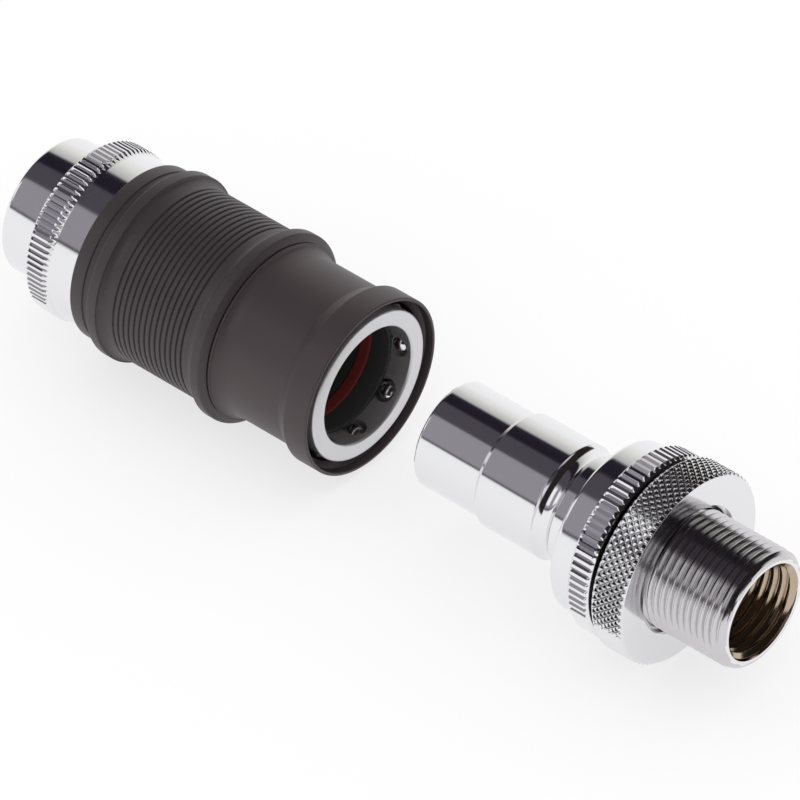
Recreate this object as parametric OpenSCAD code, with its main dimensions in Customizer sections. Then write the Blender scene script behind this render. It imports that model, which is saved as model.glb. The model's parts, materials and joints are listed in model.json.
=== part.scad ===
// Quick coupling for a liquid cooling loop, drawn with its two halves apart on one axis.
// The socket half has a ball lock released by a sleeve, and the plug half clamps in a panel by its ring nut.
// Each half closes with a flat-faced valve of its own when the halves part.
// The axis is X. The origin is on the axis, at the panel face of the plug's knurled flange.
// +X points along the plug's threaded tail, and +Z is up. All sizes are in millimetres.

/* [Fits] */
// Radial clearance of a sliding fit
running_gap = 0.08; // [0.05:0.01:0.1]
// Radial clearance of a screwed or pressed fit
thread_gap = 0.04; // [0.02:0.01:0.06]
// Free gap left at the end of each travel
stop_gap = 0.3; // [0.2:0.05:0.35]
// Clearance of a seal in its groove
seal_gap = 0.02; // [0.01:0.01:0.05]

/* [Layout] */
// Distance between the plug's tip and the socket's mouth
apart_gap = 13.4; // [8:0.2:24]

/* [Plug nose] */
// Diameter of the sealing nose
nose_d = 14.5; // [14.2:0.1:14.7]
// Length of the sealing nose
nose_l = 10; // [9:0.1:11]
// Rounding of the nose's tip
nose_edge = 1.1; // [0.6:0.1:1.2]
// Diameter of the guide barrel behind the nose
guide_d = 15.7; // [15.5:0.1:15.8]
// Length of the guide barrel, up to the plug's collar
guide_l = 15.4; // [15:0.1:17]
// Distance from the collar to the middle of the lock groove
groove_setback = 4.6; // [4.2:0.1:5]
// Width of the lock groove
groove_w = 2.9; // [2.6:0.1:3]
// Depth of the lock groove
groove_depth = 0.8; // [0.5:0.05:0.85]
// Diameter of the bore that the plug's valve closes
nose_bore_d = 12.3; // [12.1:0.1:12.4]
// Length of the bore that the plug's valve closes
nose_bore_l = 4; // [3.5:0.1:5]
// Diameter of the chamber behind that bore
chamber_d = 13.3; // [13.1:0.1:13.4]
// Diameter of the spigot screwed into the plug's body
spigot_d = 14.9; // [14.7:0.1:15.2]
// Length of that spigot
spigot_l = 4.7; // [4.2:0.1:5.2]

/* [Plug body] */
// Diameter of the smooth collar
collar_d = 23.2; // [22:0.1:24]
// Length of the smooth collar
collar_l = 3.6; // [3.2:0.1:6]
// Rounding of the collar's front edge
collar_edge = 0.8; // [0.3:0.1:1.2]
// Diameter of the knurled flange
flange_d = 25.1; // [24.6:0.1:27]
// Length of the knurled flange
flange_l = 3.3; // [3:0.1:5]
// Teeth of the flange's straight knurl
flange_teeth = 76; // [60:1:90]
// Depth of a straight knurl's grooves
tooth_depth = 0.34; // [0.2:0.02:0.4]
// Outside diameter of the threaded tail
tail_d = 16; // [15.8:0.1:16.2]
// Length of the threaded tail
tail_l = 17.3; // [16:0.1:22]
// Outside diameter of the tail's end rim
tail_rim_d = 14; // [13.6:0.1:15]
// Length of the tail's rounded end
tail_edge_l = 1.5; // [0.8:0.1:2]
// Diameter at the crests of both port threads
port_d = 11.8; // [11.4:0.1:12]
// Length of both port threads
port_l = 9; // [7:0.1:9.4]
// Length of the lead-in cone of both ports
port_lead = 0.7; // [0.4:0.1:0.8]
// Diameter of the passages behind the ports
passage_d = 9.6; // [8:0.1:10.4]

/* [Ring nut] */
// Diameter over the diamond knurl
nut_d = 26.1; // [25:0.1:28]
// Length of the ring nut
nut_l = 4.8; // [4:0.1:6]
// Distance from the plug's flange to the nut
nut_standoff = 0.9; // [0.7:0.1:3]
// Diamonds around the nut
nut_diamonds = 76; // [60:1:80]
// Half rows of diamonds along the nut
nut_half_rows = 7; // [5:1:9]
// Depth of the diamond knurl
diamond_depth = 0.34; // [0.2:0.02:0.4]
// Width of the nut's edge chamfers
nut_chamfer = 0.4; // [0.2:0.05:0.6]
// Diameter of the countersink in the nut's outer face
nut_countersink_d = 17.4; // [17:0.1:18.5]
// Outside diameter of the nut's gasket
gasket_d = 22.4; // [20:0.1:23.4]
// Thickness of the nut's gasket
gasket_t = 1.1; // [0.9:0.1:1.4]
// How far the gasket stands out of the nut
gasket_proud = 0.6; // [0.4:0.05:0.6]
// How far the nut runs back along the tail
nut_travel = 8; // [4:1:8]

/* [Socket body] */
// Diameter of the rear cap
cap_d = 18.8; // [18:0.1:20]
// Length of the rear cap
cap_l = 6.55; // [6:0.05:9]
// Rounding of the rear cap's end edge
cap_edge = 0.7; // [0.3:0.1:1.2]
// Diameter of the knurled ring
ring_d = 24; // [23.8:0.1:25]
// Length of the knurled ring's full teeth
ring_l = 3; // [2.6:0.1:4]
// Length of the ring's sloped front
ring_slope_l = 1; // [0.6:0.1:1.4]
// Teeth of the ring's straight knurl
ring_teeth = 88; // [70:1:96]
// Diameter of the barrel that the sleeve slides on
barrel_d = 23.2; // [23:0.1:23.3]
// Length of barrel left bare behind the sleeve
barrel_bare_l = 3.9; // [3.3:0.1:5]
// Length of barrel covered by the sleeve
barrel_cover_l = 5.3; // [4.5:0.1:6]

/* [Ball cage] */
// Diameter of the mouth ring
mouth_d = 20.9; // [20.7:0.1:21]
// Bore of the mouth, round the plug's guide barrel
mouth_bore_d = 16.3; // [16.2:0.1:16.4]
// Distance from the mouth's face to the middle of the balls
ball_depth = 2.4; // [2.3:0.1:2.5]
// Diameter of a lock ball
ball_d = 3; // [2.8:0.1:3]
// How far a ball stands into the mouth's bore
ball_proud = 0.22; // [0.16:0.02:0.24]
// How far a ball moves outwards
ball_lift = 0.2; // [0.1:0.02:0.24]
// Length of the mouth ring's rim, up to the sleeve's stop
mouth_rim_l = 4.3; // [4.2:0.1:4.5]
// Diameter of the cage where the sleeve's waist runs on it
neck_d = 20; // [19.8:0.1:20.1]
// Length of that neck
neck_l = 10.3; // [9:0.1:10.5]
// Diameter of the cage inside the sleeve's spring
cage_d = 19.2; // [19:0.1:19.4]
// Diameter of the chamber that the valve sleeve runs in
cage_bore_d = 17.6; // [17.4:0.1:17.7]
// Length of the mouth's bore, up to the valve chamber
mouth_bore_l = 5.3; // [5.1:0.1:5.6]
// Length of the cage's thread in the barrel
cage_thread_l = 7; // [6:0.1:7.2]

/* [Release sleeve] */
// Travel of the sleeve
sleeve_travel = 2.4; // [1.8:0.1:2.5]
// How far the sleeve's lip stands in front of the mouth
lip_proud = 0.3; // [0.1:0.1:0.6]
// Diameter of the sleeve's front collar
head_d = 24.5; // [24.3:0.1:25]
// Length of the sleeve's front collar
head_l = 3.6; // [3.4:0.1:4.2]
// Length of the slope behind the front collar
shoulder_l = 1.7; // [1.4:0.1:2]
// Diameter of the sleeve's waist
waist_d = 22.5; // [22.3:0.1:23]
// Length of the sleeve's waist
waist_l = 8.3; // [8:0.1:9]
// Length of the flare between the waist and the seam
flare_l = 2.7; // [2.4:0.1:3]
// Diameter of the flare at the seam
flare_d = 24.3; // [24:0.1:24.6]
// Bore of the sleeve's lip
lip_bore_d = 23.6; // [23.4:0.1:23.7]
// Depth of the relief inside the lip
relief_l = 1.2; // [1:0.1:1.3]
// Diameter of the sleeve's tube under the grip
tube_d = 22.9; // [22.7:0.1:23]
// Wall of the tube under the grip
tube_wall = 0.45; // [0.35:0.05:0.5]

/* [Grip] */
// Width of the seam between the sleeve and its grip
seam_w = 0.15; // [0.1:0.05:0.3]
// Diameter of the grip's plain rings
grip_d = 24.3; // [24.1:0.1:24.8]
// Diameter of the front bead
front_bead_d = 26.3; // [25.4:0.1:27]
// Length of the front bead's crest
front_bead_l = 1.5; // [1:0.1:2]
// Diameter of the rear bead
rear_bead_d = 26; // [25:0.1:27]
// Length of the rear bead's crest
rear_bead_l = 1.7; // [1.2:0.1:2.2]
// Length of the hollow between a bead and the ribs
bead_blend_l = 1.4; // [1:0.1:1.8]
// Length of the ribbed zone
rib_zone_l = 13.1; // [12:0.1:15]
// Grooves in the ribbed zone
rib_count = 14; // [10:1:16]
// Depth of the grooves between the ribs
rib_depth = 0.24; // [0.1:0.02:0.26]
// Length of the groove behind the rear bead
rear_groove_l = 1.4; // [1:0.1:2]
// Depth of the groove behind the rear bead
rear_groove_depth = 0.18; // [0.1:0.02:0.2]
// Length of the rear ring
rear_ring_l = 2; // [1.6:0.1:2.6]

/* [Valves] */
// Distance from the mouth's face to the valve sleeve's rim
valve_depth = 3.25; // [3.2:0.05:3.4]
// Bore of the valve sleeve, round the plug's nose
valve_bore_d = 15.2; // [15.1:0.1:15.3]
// Spare length of that bore past the plug's nose
valve_bore_spare = 0.2; // [0.1:0.05:0.3]
// Length of the valve sleeve's inner flange
valve_flange_l = 2; // [1.8:0.1:2.4]
// Length of the valve sleeve's skirt
valve_skirt_l = 5; // [4:0.1:6]
// Diameter of the fixed stem's head
stem_head_d = 11.7; // [11.4:0.1:11.8]
// Length of the stem's head
stem_head_l = 2.4; // [2.2:0.1:2.6]
// Diameter of the stem behind its head
stem_d = 4.4; // [4:0.1:5]
// Thickness of the stem's foot
stem_foot_t = 1.5; // [1.2:0.1:1.8]
// Diameter of the holes that let coolant through a foot
flow_hole_d = 2.1; // [1.6:0.1:2.2]
// Length of the plug valve's head
poppet_head_l = 3; // [2.6:0.1:3.2]
// Thickness of the plug valve's stop flange
poppet_flange_t = 1; // [0.8:0.1:1.4]
// Diameter of the plug valve's stem
poppet_stem_d = 3.6; // [3:0.1:4]
// Length of the guide that holds that stem
guide_hub_l = 9; // [8:0.1:10]

/* [Seals] */
// Section of the seals that lie between screwed pieces
body_seal_section = 0.74; // [0.6:0.02:0.8]
// Section of the seals on the valve heads
head_seal_section = 0.66; // [0.5:0.02:0.7]
// Width of the seal that grips the plug's nose
nose_seal_w = 1.7; // [1.4:0.1:2]
// Depth of that seal's groove in the valve sleeve
nose_seal_depth = 0.65; // [0.5:0.05:0.7]
// How far that seal stands into the bore
nose_seal_proud = 0.18; // [0.1:0.02:0.2]
// Distance from the valve sleeve's rim to that seal
nose_seal_setback = 2.9; // [2.8:0.1:3.4]

/* [Springs] */
// Wire of the sleeve's spring
sleeve_wire = 0.8; // [0.7:0.05:0.85]
// Turns of the sleeve's spring
sleeve_turns = 6; // [4:1:8]
// Wire of the socket's valve spring
valve_wire = 0.9; // [0.7:0.05:0.95]
// Turns of the socket's valve spring
valve_turns = 8; // [6:1:9]
// Wire of the plug's valve spring
poppet_wire = 0.8; // [0.6:0.05:0.85]
// Turns of the plug's valve spring
poppet_turns = 8; // [6:1:9]

/* [Hidden] */

// Fineness of the drawn curves
round_faces = 96;
arc_steps = 6;
over = 1;              // how far a cutter runs past the face it cuts

// Plug half, from the flange's panel face forwards (towards -X)
flange_front = -flange_l;
collar_front = flange_front - collar_l;
guide_front = collar_front - guide_l;
tip_x = guide_front - nose_l;
groove_x = collar_front - groove_setback;
nose_bore_end = tip_x + nose_bore_l;
spigot_end = collar_front + spigot_l;
seat_t = 1.2;
seat_x = spigot_end + seal_gap;
body_bore_end = seat_x + seat_t + seal_gap;
passage_end = tail_l - port_lead - port_l;
plug_gland_x = collar_front + spigot_l / 2;

// Socket half, from its mouth backwards (towards -X)
mouth_x = tip_x - apart_gap;
ball_x = mouth_x - ball_depth;
ball_r = ball_d / 2;
ball_ring_r = mouth_bore_d / 2 - ball_proud + ball_r;
balls = 8;
rim_back = mouth_x - mouth_rim_l;
neck_back = rim_back - neck_l;
mouth_bore_end = mouth_x - mouth_bore_l;
lip_x = mouth_x + lip_proud;
head_back = lip_x - head_l;
shoulder_back = head_back - shoulder_l;
waist_back = shoulder_back - waist_l;
seam_x = waist_back - flare_l;
grip_front = seam_x - seam_w;
front_bead_front = grip_front - (front_bead_d - flare_d) / 4;
front_bead_back = front_bead_front - front_bead_l;
rib_front = front_bead_back - bead_blend_l;
rib_back = rib_front - rib_zone_l;
rear_bead_front = rib_back - bead_blend_l;
rear_bead_back = rear_bead_front - rear_bead_l;
rear_ring_front = rear_bead_back - rear_groove_l;
grip_back = rear_ring_front - rear_ring_l;
barrel_front = grip_back + barrel_cover_l;
barrel_back = grip_back - barrel_bare_l;
ring_front = barrel_back - ring_slope_l;
ring_back = ring_front - ring_l;
cap_back = ring_back - cap_l;
socket_passage_end = cap_back + port_lead + port_l;

// Screwed joint of the cage in the barrel
cage_thread_d = neck_d;
cage_end = barrel_front - cage_thread_l;
foot_back = cage_end - seal_gap - stem_foot_t;
adapter_bore_end = foot_back - seal_gap;
adapter_bore_r = cage_thread_d / 2 + thread_gap;
body_gland_x = barrel_front - cage_thread_l / 2;

// Sleeve bores
sleeve_stop = rim_back - stop_gap;
land_bore_r = ball_ring_r + ball_r + 0.12;
relief_back = lip_x - relief_l;
ramp_back = relief_back - (lip_bore_d / 2 - land_bore_r);
tube_r = tube_d / 2;
tube_bore_r = tube_r - tube_wall;
spring_shoulder = seam_x + 0.2;
tube_back = barrel_front + sleeve_travel + stop_gap;

// Valve travels: both valves open as the plug's nose comes home behind the balls
insertion = groove_x - ball_x;
valve_rim = mouth_x - valve_depth;
valve_face = valve_rim - nose_l - valve_bore_spare;
valve_flange_back = valve_face - valve_flange_l;
valve_back = valve_flange_back - valve_skirt_l;
valve_r = cage_bore_d / 2 - running_gap;
valve_rim_r = mouth_bore_d / 2 - running_gap;
stem_head_r = stem_head_d / 2;
valve_seat_r = stem_head_r + running_gap;
stem_cone_l = stem_head_r - stem_d / 2;
poppet_r = nose_bore_d / 2 - running_gap;
poppet_flange_r = chamber_d / 2 - running_gap;
poppet_flange_x = nose_bore_end + 0.1;
poppet_flange_back = poppet_flange_x + poppet_flange_t;
poppet_travel = valve_face + insertion - tip_x + stop_gap;
hub_front = seat_x - guide_hub_l;
poppet_end = hub_front + 3;

// Angle between two of n copies round the axis
function step(n) = 360 / n;

// Points of an arc from angle a0 to a1 about c, in [x, radius] coordinates
function arc(c, r, a0, a1, n = arc_steps) =
    [for (i = [0:n]) let (a = a0 + (a1 - a0) * i / n) [c[0] + r * cos(a), c[1] + r * sin(a)]];

// Solid turned about the X axis from an outline of [x, radius] points
module turned(outline) {
    rotate([0, 90, 0])
        rotate_extrude($fn = round_faces)
            polygon([for (p = outline) [p[1], p[0]]]);
}

// Cylinder along X from x0 to x1
module rod(x0, x1, r) {
    translate([x0, 0, 0])
        rotate([0, 90, 0])
            cylinder(h = x1 - x0, r = r, $fn = round_faces);
}

// Ring along X from x0 to x1 between two radii
module collar(x0, x1, r_in, r_out) {
    turned([[x0, r_in], [x1, r_in], [x1, r_out], [x0, r_out]]);
}

// Bar with a straight knurl: flat-topped teeth with vee grooves between them
module knurled_bar(x0, x1, r, teeth, depth) {
    a = step(teeth);
    translate([x0, 0, 0])
        rotate([0, 90, 0])
            linear_extrude(x1 - x0)
                polygon([for (i = [0:teeth - 1], k = [0:2])
                    let (u = (i + [0, 0.46, 0.73][k]) * a, s = k == 2 ? r - depth : r)
                    [s * cos(u), s * sin(u)]]);
}

// Bar with an edge cone at each end, used to trim a knurl
module trimmed(x0, x1, r, edge) {
    turned([[x0, 0], [x1, 0], [x1, r - edge], [x1 - edge, r], [x0 + edge, r], [x0, r - edge]]);
}

// Bar with a diamond knurl: one pyramid for each diamond, crossing grooves between them, and sloped edges
module diamond_bar(x0, x1, r, around, half_rows, depth, edge) {
    columns = 2 * around;
    rows = half_rows + 2;
    a = step(columns);
    dx = (x1 - x0 - 2 * edge) / half_rows;
    points = [for (j = [0:rows], i = [0:columns - 1])
        let (end = j == 0 || j == rows,
             x = j == 0 ? x0 : j == rows ? x1 : x0 + edge + (j - 1) * dx,
             s = end ? r - edge : (i + j) % 2 == 0 ? r : r - depth)
        [x, s * cos(i * a), s * sin(i * a)]];
    // each cell of the grid is split along the groove that crosses it
    cells = [for (j = [0:rows - 1], i = [0:columns - 1])
        let (k = (i + 1) % columns,
             p = j * columns + i, q = j * columns + k,
             u = (j + 1) * columns + i, v = (j + 1) * columns + k)
        each ((i + j) % 2 == 0 ? [[p, q, u], [q, v, u]] : [[p, q, v], [p, v, u]])];
    front = [[for (i = [columns - 1:-1:0]) i]];
    back = [[for (i = [0:columns - 1]) rows * columns + i]];
    polyhedron(points, concat(cells, front, back));
}

// Height of a compression spring's wire after a share t of its turns: one closed turn at each end
function coil_rise(t, turns, wire, length) =
    let (n = t * turns, dead = wire * 1.04, free = length - wire - 2 * dead,
         m = min(max((n - 1) / (turns - 2), 0), 1))
    min(n, 1) * dead + m * free + max(n - turns + 1, 0) * dead;

// Compression spring from x0 to x1 on a mean radius, as one swept wire with flat ends
module coil_spring(x0, x1, mean_r, wire, turns) {
    per_turn = 14;
    sides = 6;
    n = turns * per_turn;
    points = [for (i = [0:n], k = [0:sides - 1])
        let (u = i * step(per_turn), w = k * step(sides), s = mean_r + wire / 2 * cos(w),
             x = x0 + wire / 2 + coil_rise(i / n, turns, wire, x1 - x0) + wire / 2 * sin(w))
        [x, s * cos(u), s * sin(u)]];
    walls = [for (i = [0:n - 1], k = [0:sides - 1])
        let (m = (k + 1) % sides, p = i * sides + k, q = i * sides + m, u = p + sides, v = q + sides)
        each [[p, u, v], [p, v, q]]];
    caps = [[for (k = [0:sides - 1]) k], [for (k = [sides - 1:-1:0]) n * sides + k]];
    polyhedron(points, concat(walls, caps));
}

// Round seal with its section's middle at x and radius r
module ring_seal(x, r, section) {
    rotate([0, 90, 0])
        rotate_extrude($fn = round_faces)
            translate([r, x])
                circle(d = section, $fn = 24);
}

// Ring of holes along X
module hole_ring(x0, x1, n, ring_r, r) {
    for (i = [0:n - 1])
        rotate([i * step(n), 0, 0])
            translate([x0, 0, ring_r])
                rotate([0, 90, 0])
                    cylinder(h = x1 - x0, r = r, $fn = 24);
}

// Port: threaded bore at its crests, with a lead-in cone, from its mouth at x towards dir
module port(x, dir) {
    lead_r = port_d / 2 + port_lead;
    turned([[x - dir * over, 0], [x - dir * over, lead_r + over], [x, lead_r],
        [x + dir * port_lead, port_d / 2], [x + dir * (port_lead + port_l), port_d / 2],
        [x + dir * (port_lead + port_l), 0]]);
}

module plug_body() {
    neck_r = tail_d / 2;
    rim_r = tail_rim_d / 2;
    color("silver")
        difference() {
            union() {
                turned(concat([[flange_front + over, 0], [collar_front, 0]],
                    arc([collar_front + collar_edge, collar_d / 2 - collar_edge], collar_edge, 180, 90),
                    [[flange_front + over, collar_d / 2]]));
                intersection() {
                    knurled_bar(flange_front, 0, flange_d / 2, flange_teeth, tooth_depth);
                    trimmed(flange_front, 0, flange_d / 2, tooth_depth * 1.2);
                }
                turned(concat([[-over, 0], [-over, neck_r], [tail_l - tail_edge_l, neck_r]],
                    [for (i = [1:arc_steps])
                        let (a = 90 * i / arc_steps)
                        [tail_l - tail_edge_l + tail_edge_l * sin(a), rim_r + (neck_r - rim_r) * cos(a)]],
                    [[tail_l, 0]]));
            }
            rod(collar_front - over, body_bore_end, spigot_d / 2 + thread_gap);
            collar(plug_gland_x - body_seal_section / 2 - seal_gap, plug_gland_x + body_seal_section / 2 + seal_gap,
                spigot_d / 2, spigot_d / 2 + thread_gap + body_seal_section);
            rod(body_bore_end - over, passage_end + over, passage_d / 2);
            port(tail_l, -1);
        }
}

module plug_nose() {
    nose_r = nose_d / 2;
    guide_r = guide_d / 2;
    // circle through both edges and the floor of the lock groove
    groove_r = (groove_w * groove_w / 4 + groove_depth * groove_depth) / (2 * groove_depth);
    half_angle = asin(groove_w / 2 / groove_r);
    step_edge = (guide_d - nose_d) / 2;
    color("gainsboro")
        difference() {
            turned(concat([[tip_x, 0]],
                arc([tip_x + nose_edge, nose_r - nose_edge], nose_edge, 180, 90),
                [[guide_front, nose_r], [guide_front + step_edge, guide_r]],
                arc([groove_x, guide_r - groove_depth + groove_r], groove_r,
                    270 - half_angle, 270 + half_angle, 2 * arc_steps),
                [[collar_front - seal_gap, guide_r], [collar_front - seal_gap, spigot_d / 2],
                 [spigot_end, spigot_d / 2], [spigot_end, 0]]));
            rod(tip_x - over, nose_bore_end + over, nose_bore_d / 2);
            rod(nose_bore_end, spigot_end + over, chamber_d / 2);
        }
}

module plug_body_seal() {
    color("dimgray")
        ring_seal(plug_gland_x, spigot_d / 2 + thread_gap + body_seal_section / 2 - seal_gap,
            body_seal_section - 2 * seal_gap);
}

module plug_poppet() {
    notch_r = 1.2;
    seal_x = tip_x + poppet_head_l / 2;
    color("lightgray")
        difference() {
            turned([[tip_x, 0], [tip_x, poppet_r - 0.3], [tip_x + 0.3, poppet_r],
                [seal_x - head_seal_section / 2, poppet_r],
                [seal_x - head_seal_section / 2, poppet_r - head_seal_section],
                [seal_x + head_seal_section / 2, poppet_r - head_seal_section],
                [seal_x + head_seal_section / 2, poppet_r],
                [tip_x + poppet_head_l, poppet_r], [poppet_flange_x, poppet_r - 1],
                [poppet_flange_x, poppet_flange_r], [poppet_flange_back, poppet_flange_r],
                [poppet_flange_back, poppet_stem_d / 2], [poppet_end, poppet_stem_d / 2], [poppet_end, 0]]);
            hole_ring(poppet_flange_x - over / 4, poppet_flange_back + over, 4, poppet_flange_r, notch_r);
        }
}

module poppet_seal() {
    color("black")
        ring_seal(tip_x + poppet_head_l / 2, poppet_r - head_seal_section / 2, head_seal_section - 2 * seal_gap);
}

module plug_spring() {
    color("slategray")
        coil_spring(poppet_flange_back + 0.1, seat_x - seal_gap, (poppet_flange_r + poppet_stem_d / 2) / 2 + 1.1,
            poppet_wire, poppet_turns);
}

module spring_seat() {
    hub_r = poppet_stem_d / 2 + running_gap + 0.9;
    hole_r = (flow_hole_d - 0.4) / 2;
    color("darkgray")
        difference() {
            union() {
                rod(seat_x, seat_x + seat_t, spigot_d / 2 - seal_gap);
                rod(hub_front, seat_x + seat_t / 2, hub_r);
            }
            rod(hub_front - over, seat_x + seat_t + over, poppet_stem_d / 2 + running_gap);
            hole_ring(seat_x - seal_gap, seat_x + seat_t + over, 6, hub_r + hole_r + 0.15, hole_r);
        }
}

module ring_nut() {
    nut_front = nut_standoff;
    nut_back = nut_front + nut_l;
    sink_r = nut_countersink_d / 2;
    bore_r = tail_d / 2 + thread_gap;
    color("lightsteelblue")
        difference() {
            diamond_bar(nut_front, nut_back, nut_d / 2, nut_diamonds, nut_half_rows, diamond_depth, nut_chamfer);
            rod(nut_front - over, nut_back + over, bore_r);
            rod(nut_front - over, nut_front + gasket_t - gasket_proud + seal_gap, gasket_d / 2 + seal_gap);
            turned([[nut_back - (sink_r - bore_r), bore_r - over / 2], [nut_back - (sink_r - bore_r), bore_r],
                [nut_back, sink_r], [nut_back + over, sink_r + over], [nut_back + over, bore_r - over / 2]]);
        }
}

module nut_gasket() {
    gasket_front = nut_standoff - gasket_proud;
    color("black")
        collar(gasket_front, gasket_front + gasket_t, tail_d / 2 + stop_gap, gasket_d / 2);
}

module port_adapter() {
    cap_r = cap_d / 2;
    ring_r = ring_d / 2;
    barrel_r = barrel_d / 2;
    color("silver")
        difference() {
            union() {
                turned(concat([[ring_back + over, 0], [cap_back, 0]],
                    arc([cap_back + cap_edge, cap_r - cap_edge], cap_edge, 180, 90),
                    [[ring_back - 0.5, cap_r], [ring_back - 0.5, cap_r - 0.3], [ring_back, cap_r - 0.3],
                     [ring_back + over, cap_r - 0.3]]));
                intersection() {
                    knurled_bar(ring_back, barrel_back, ring_r, ring_teeth, tooth_depth);
                    turned([[ring_back, 0], [ring_back, ring_r - tooth_depth * 1.2],
                        [ring_back + tooth_depth * 1.2, ring_r], [ring_front, ring_r],
                        [barrel_back, barrel_r], [barrel_back, 0]]);
                }
                rod(ring_back + over, barrel_back, barrel_r - 0.02);
                rod(barrel_back, barrel_front, barrel_r);
            }
            port(cap_back, 1);
            rod(socket_passage_end - over, adapter_bore_end + over, passage_d / 2);
            rod(adapter_bore_end, barrel_front + over, adapter_bore_r);
            collar(body_gland_x - body_seal_section / 2 - seal_gap, body_gland_x + body_seal_section / 2 + seal_gap,
                adapter_bore_r - 0.1, adapter_bore_r + body_seal_section);
        }
}

module ball_cage() {
    mouth_r = mouth_d / 2;
    bore_r = mouth_bore_d / 2;
    edge = 0.35;
    color("whitesmoke")
        difference() {
            turned([[cage_end, cage_bore_d / 2], [cage_end, cage_thread_d / 2 - edge],
                [cage_end + edge, cage_thread_d / 2], [barrel_front - 0.5, cage_thread_d / 2],
                [barrel_front, cage_d / 2], [neck_back - 0.4, cage_d / 2], [neck_back, neck_d / 2],
                [rim_back, neck_d / 2], [rim_back, mouth_r], [mouth_x - edge, mouth_r],
                [mouth_x, mouth_r - edge], [mouth_x, bore_r + edge], [mouth_x - edge, bore_r],
                [mouth_bore_end, bore_r], [mouth_bore_end, cage_bore_d / 2]]);
            for (i = [0:balls - 1])
                rotate([i * step(balls), 0, 0])
                    translate([ball_x, 0, bore_r - over])
                        cylinder(h = mouth_r - bore_r + 2 * over, r = ball_r + running_gap / 2, $fn = 32);
        }
}

module body_seal() {
    color("dimgray")
        ring_seal(body_gland_x, adapter_bore_r + body_seal_section / 2 - seal_gap, body_seal_section - 2 * seal_gap);
}

module valve_stem() {
    seal_x = valve_face - valve_flange_l / 2;
    groove_r = stem_head_r - head_seal_section;
    head_back_x = valve_face - stem_head_l;
    shaft_r = stem_d / 2;
    foot_r = cage_thread_d / 2 - seal_gap;
    color("lightgray")
        difference() {
            turned([[valve_face, 0], [valve_face, stem_head_r - 0.3], [valve_face - 0.3, stem_head_r],
                [seal_x + head_seal_section / 2, stem_head_r], [seal_x + head_seal_section / 2, groove_r],
                [seal_x - head_seal_section / 2, groove_r], [seal_x - head_seal_section / 2, stem_head_r],
                [head_back_x, stem_head_r], [head_back_x - stem_cone_l, shaft_r],
                [cage_end - seal_gap, shaft_r], [cage_end - seal_gap, foot_r], [foot_back, foot_r],
                [foot_back, 0]]);
            hole_ring(foot_back - over, cage_end + over, 6, shaft_r + flow_hole_d / 2 + 0.1, flow_hole_d / 2);
        }
}

module stem_seal() {
    color("black")
        ring_seal(valve_face - valve_flange_l / 2, stem_head_r - head_seal_section / 2,
            head_seal_section - 2 * seal_gap);
}

module valve_sleeve() {
    bore_r = valve_bore_d / 2;
    gland_front = valve_rim - nose_seal_setback;
    gland_back = gland_front - nose_seal_w - 2 * seal_gap;
    collar_x = mouth_bore_end - 0.1;
    edge = 0.15;
    color("#303032")
        turned([[valve_rim, bore_r + edge], [valve_rim, valve_rim_r - edge], [valve_rim - edge, valve_rim_r],
            [collar_x, valve_rim_r], [collar_x, valve_r], [valve_back, valve_r], [valve_back, bore_r],
            [valve_flange_back, bore_r], [valve_flange_back, valve_seat_r], [valve_face, valve_seat_r],
            [valve_face, bore_r], [gland_back, bore_r], [gland_back, bore_r + nose_seal_depth],
            [gland_front, bore_r + nose_seal_depth], [gland_front, bore_r], [valve_rim - edge, bore_r]]);
}

module nose_seal() {
    bore_r = valve_bore_d / 2;
    front = valve_rim - nose_seal_setback - seal_gap;
    back = front - nose_seal_w;
    lip = nose_seal_proud;
    color("darkred")
        turned([[front, bore_r], [front, bore_r + nose_seal_depth - seal_gap],
            [back, bore_r + nose_seal_depth - seal_gap], [back, bore_r], [back + lip, bore_r - lip],
            [front - lip, bore_r - lip]]);
}

module valve_spring() {
    mean_r = valve_bore_d / 2 - valve_wire / 2 - 0.25;
    color("slategray")
        coil_spring(cage_end, valve_flange_back - stop_gap, mean_r, valve_wire, valve_turns);
}

module release_sleeve() {
    head_r = head_d / 2;
    waist_r = waist_d / 2;
    flare_r = flare_d / 2;
    lip_r = lip_bore_d / 2;
    waist_bore_r = neck_d / 2 + running_gap;
    edge = 0.25;
    // quarter ellipse that flares the waist out to the seam
    flare = [for (i = [0:arc_steps])
        let (a = 90 * i / arc_steps)
        [waist_back - flare_l * 0.85 * sin(a), flare_r - (flare_r - waist_r) * cos(a)]];
    color("#484244")
        turned(concat(
            [[lip_x, lip_r], [lip_x, head_r - edge], [lip_x - edge, head_r], [head_back + edge, head_r],
             [head_back - edge, head_r - edge], [shoulder_back + edge, waist_r + edge], [shoulder_back - edge, waist_r]],
            flare,
            [[seam_x, flare_r], [seam_x, tube_r], [tube_back, tube_r], [tube_back, tube_bore_r],
             [spring_shoulder, tube_bore_r], [spring_shoulder, waist_bore_r], [sleeve_stop, waist_bore_r],
             [sleeve_stop, land_bore_r], [ramp_back, land_bore_r], [relief_back, lip_r]]));
}

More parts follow.
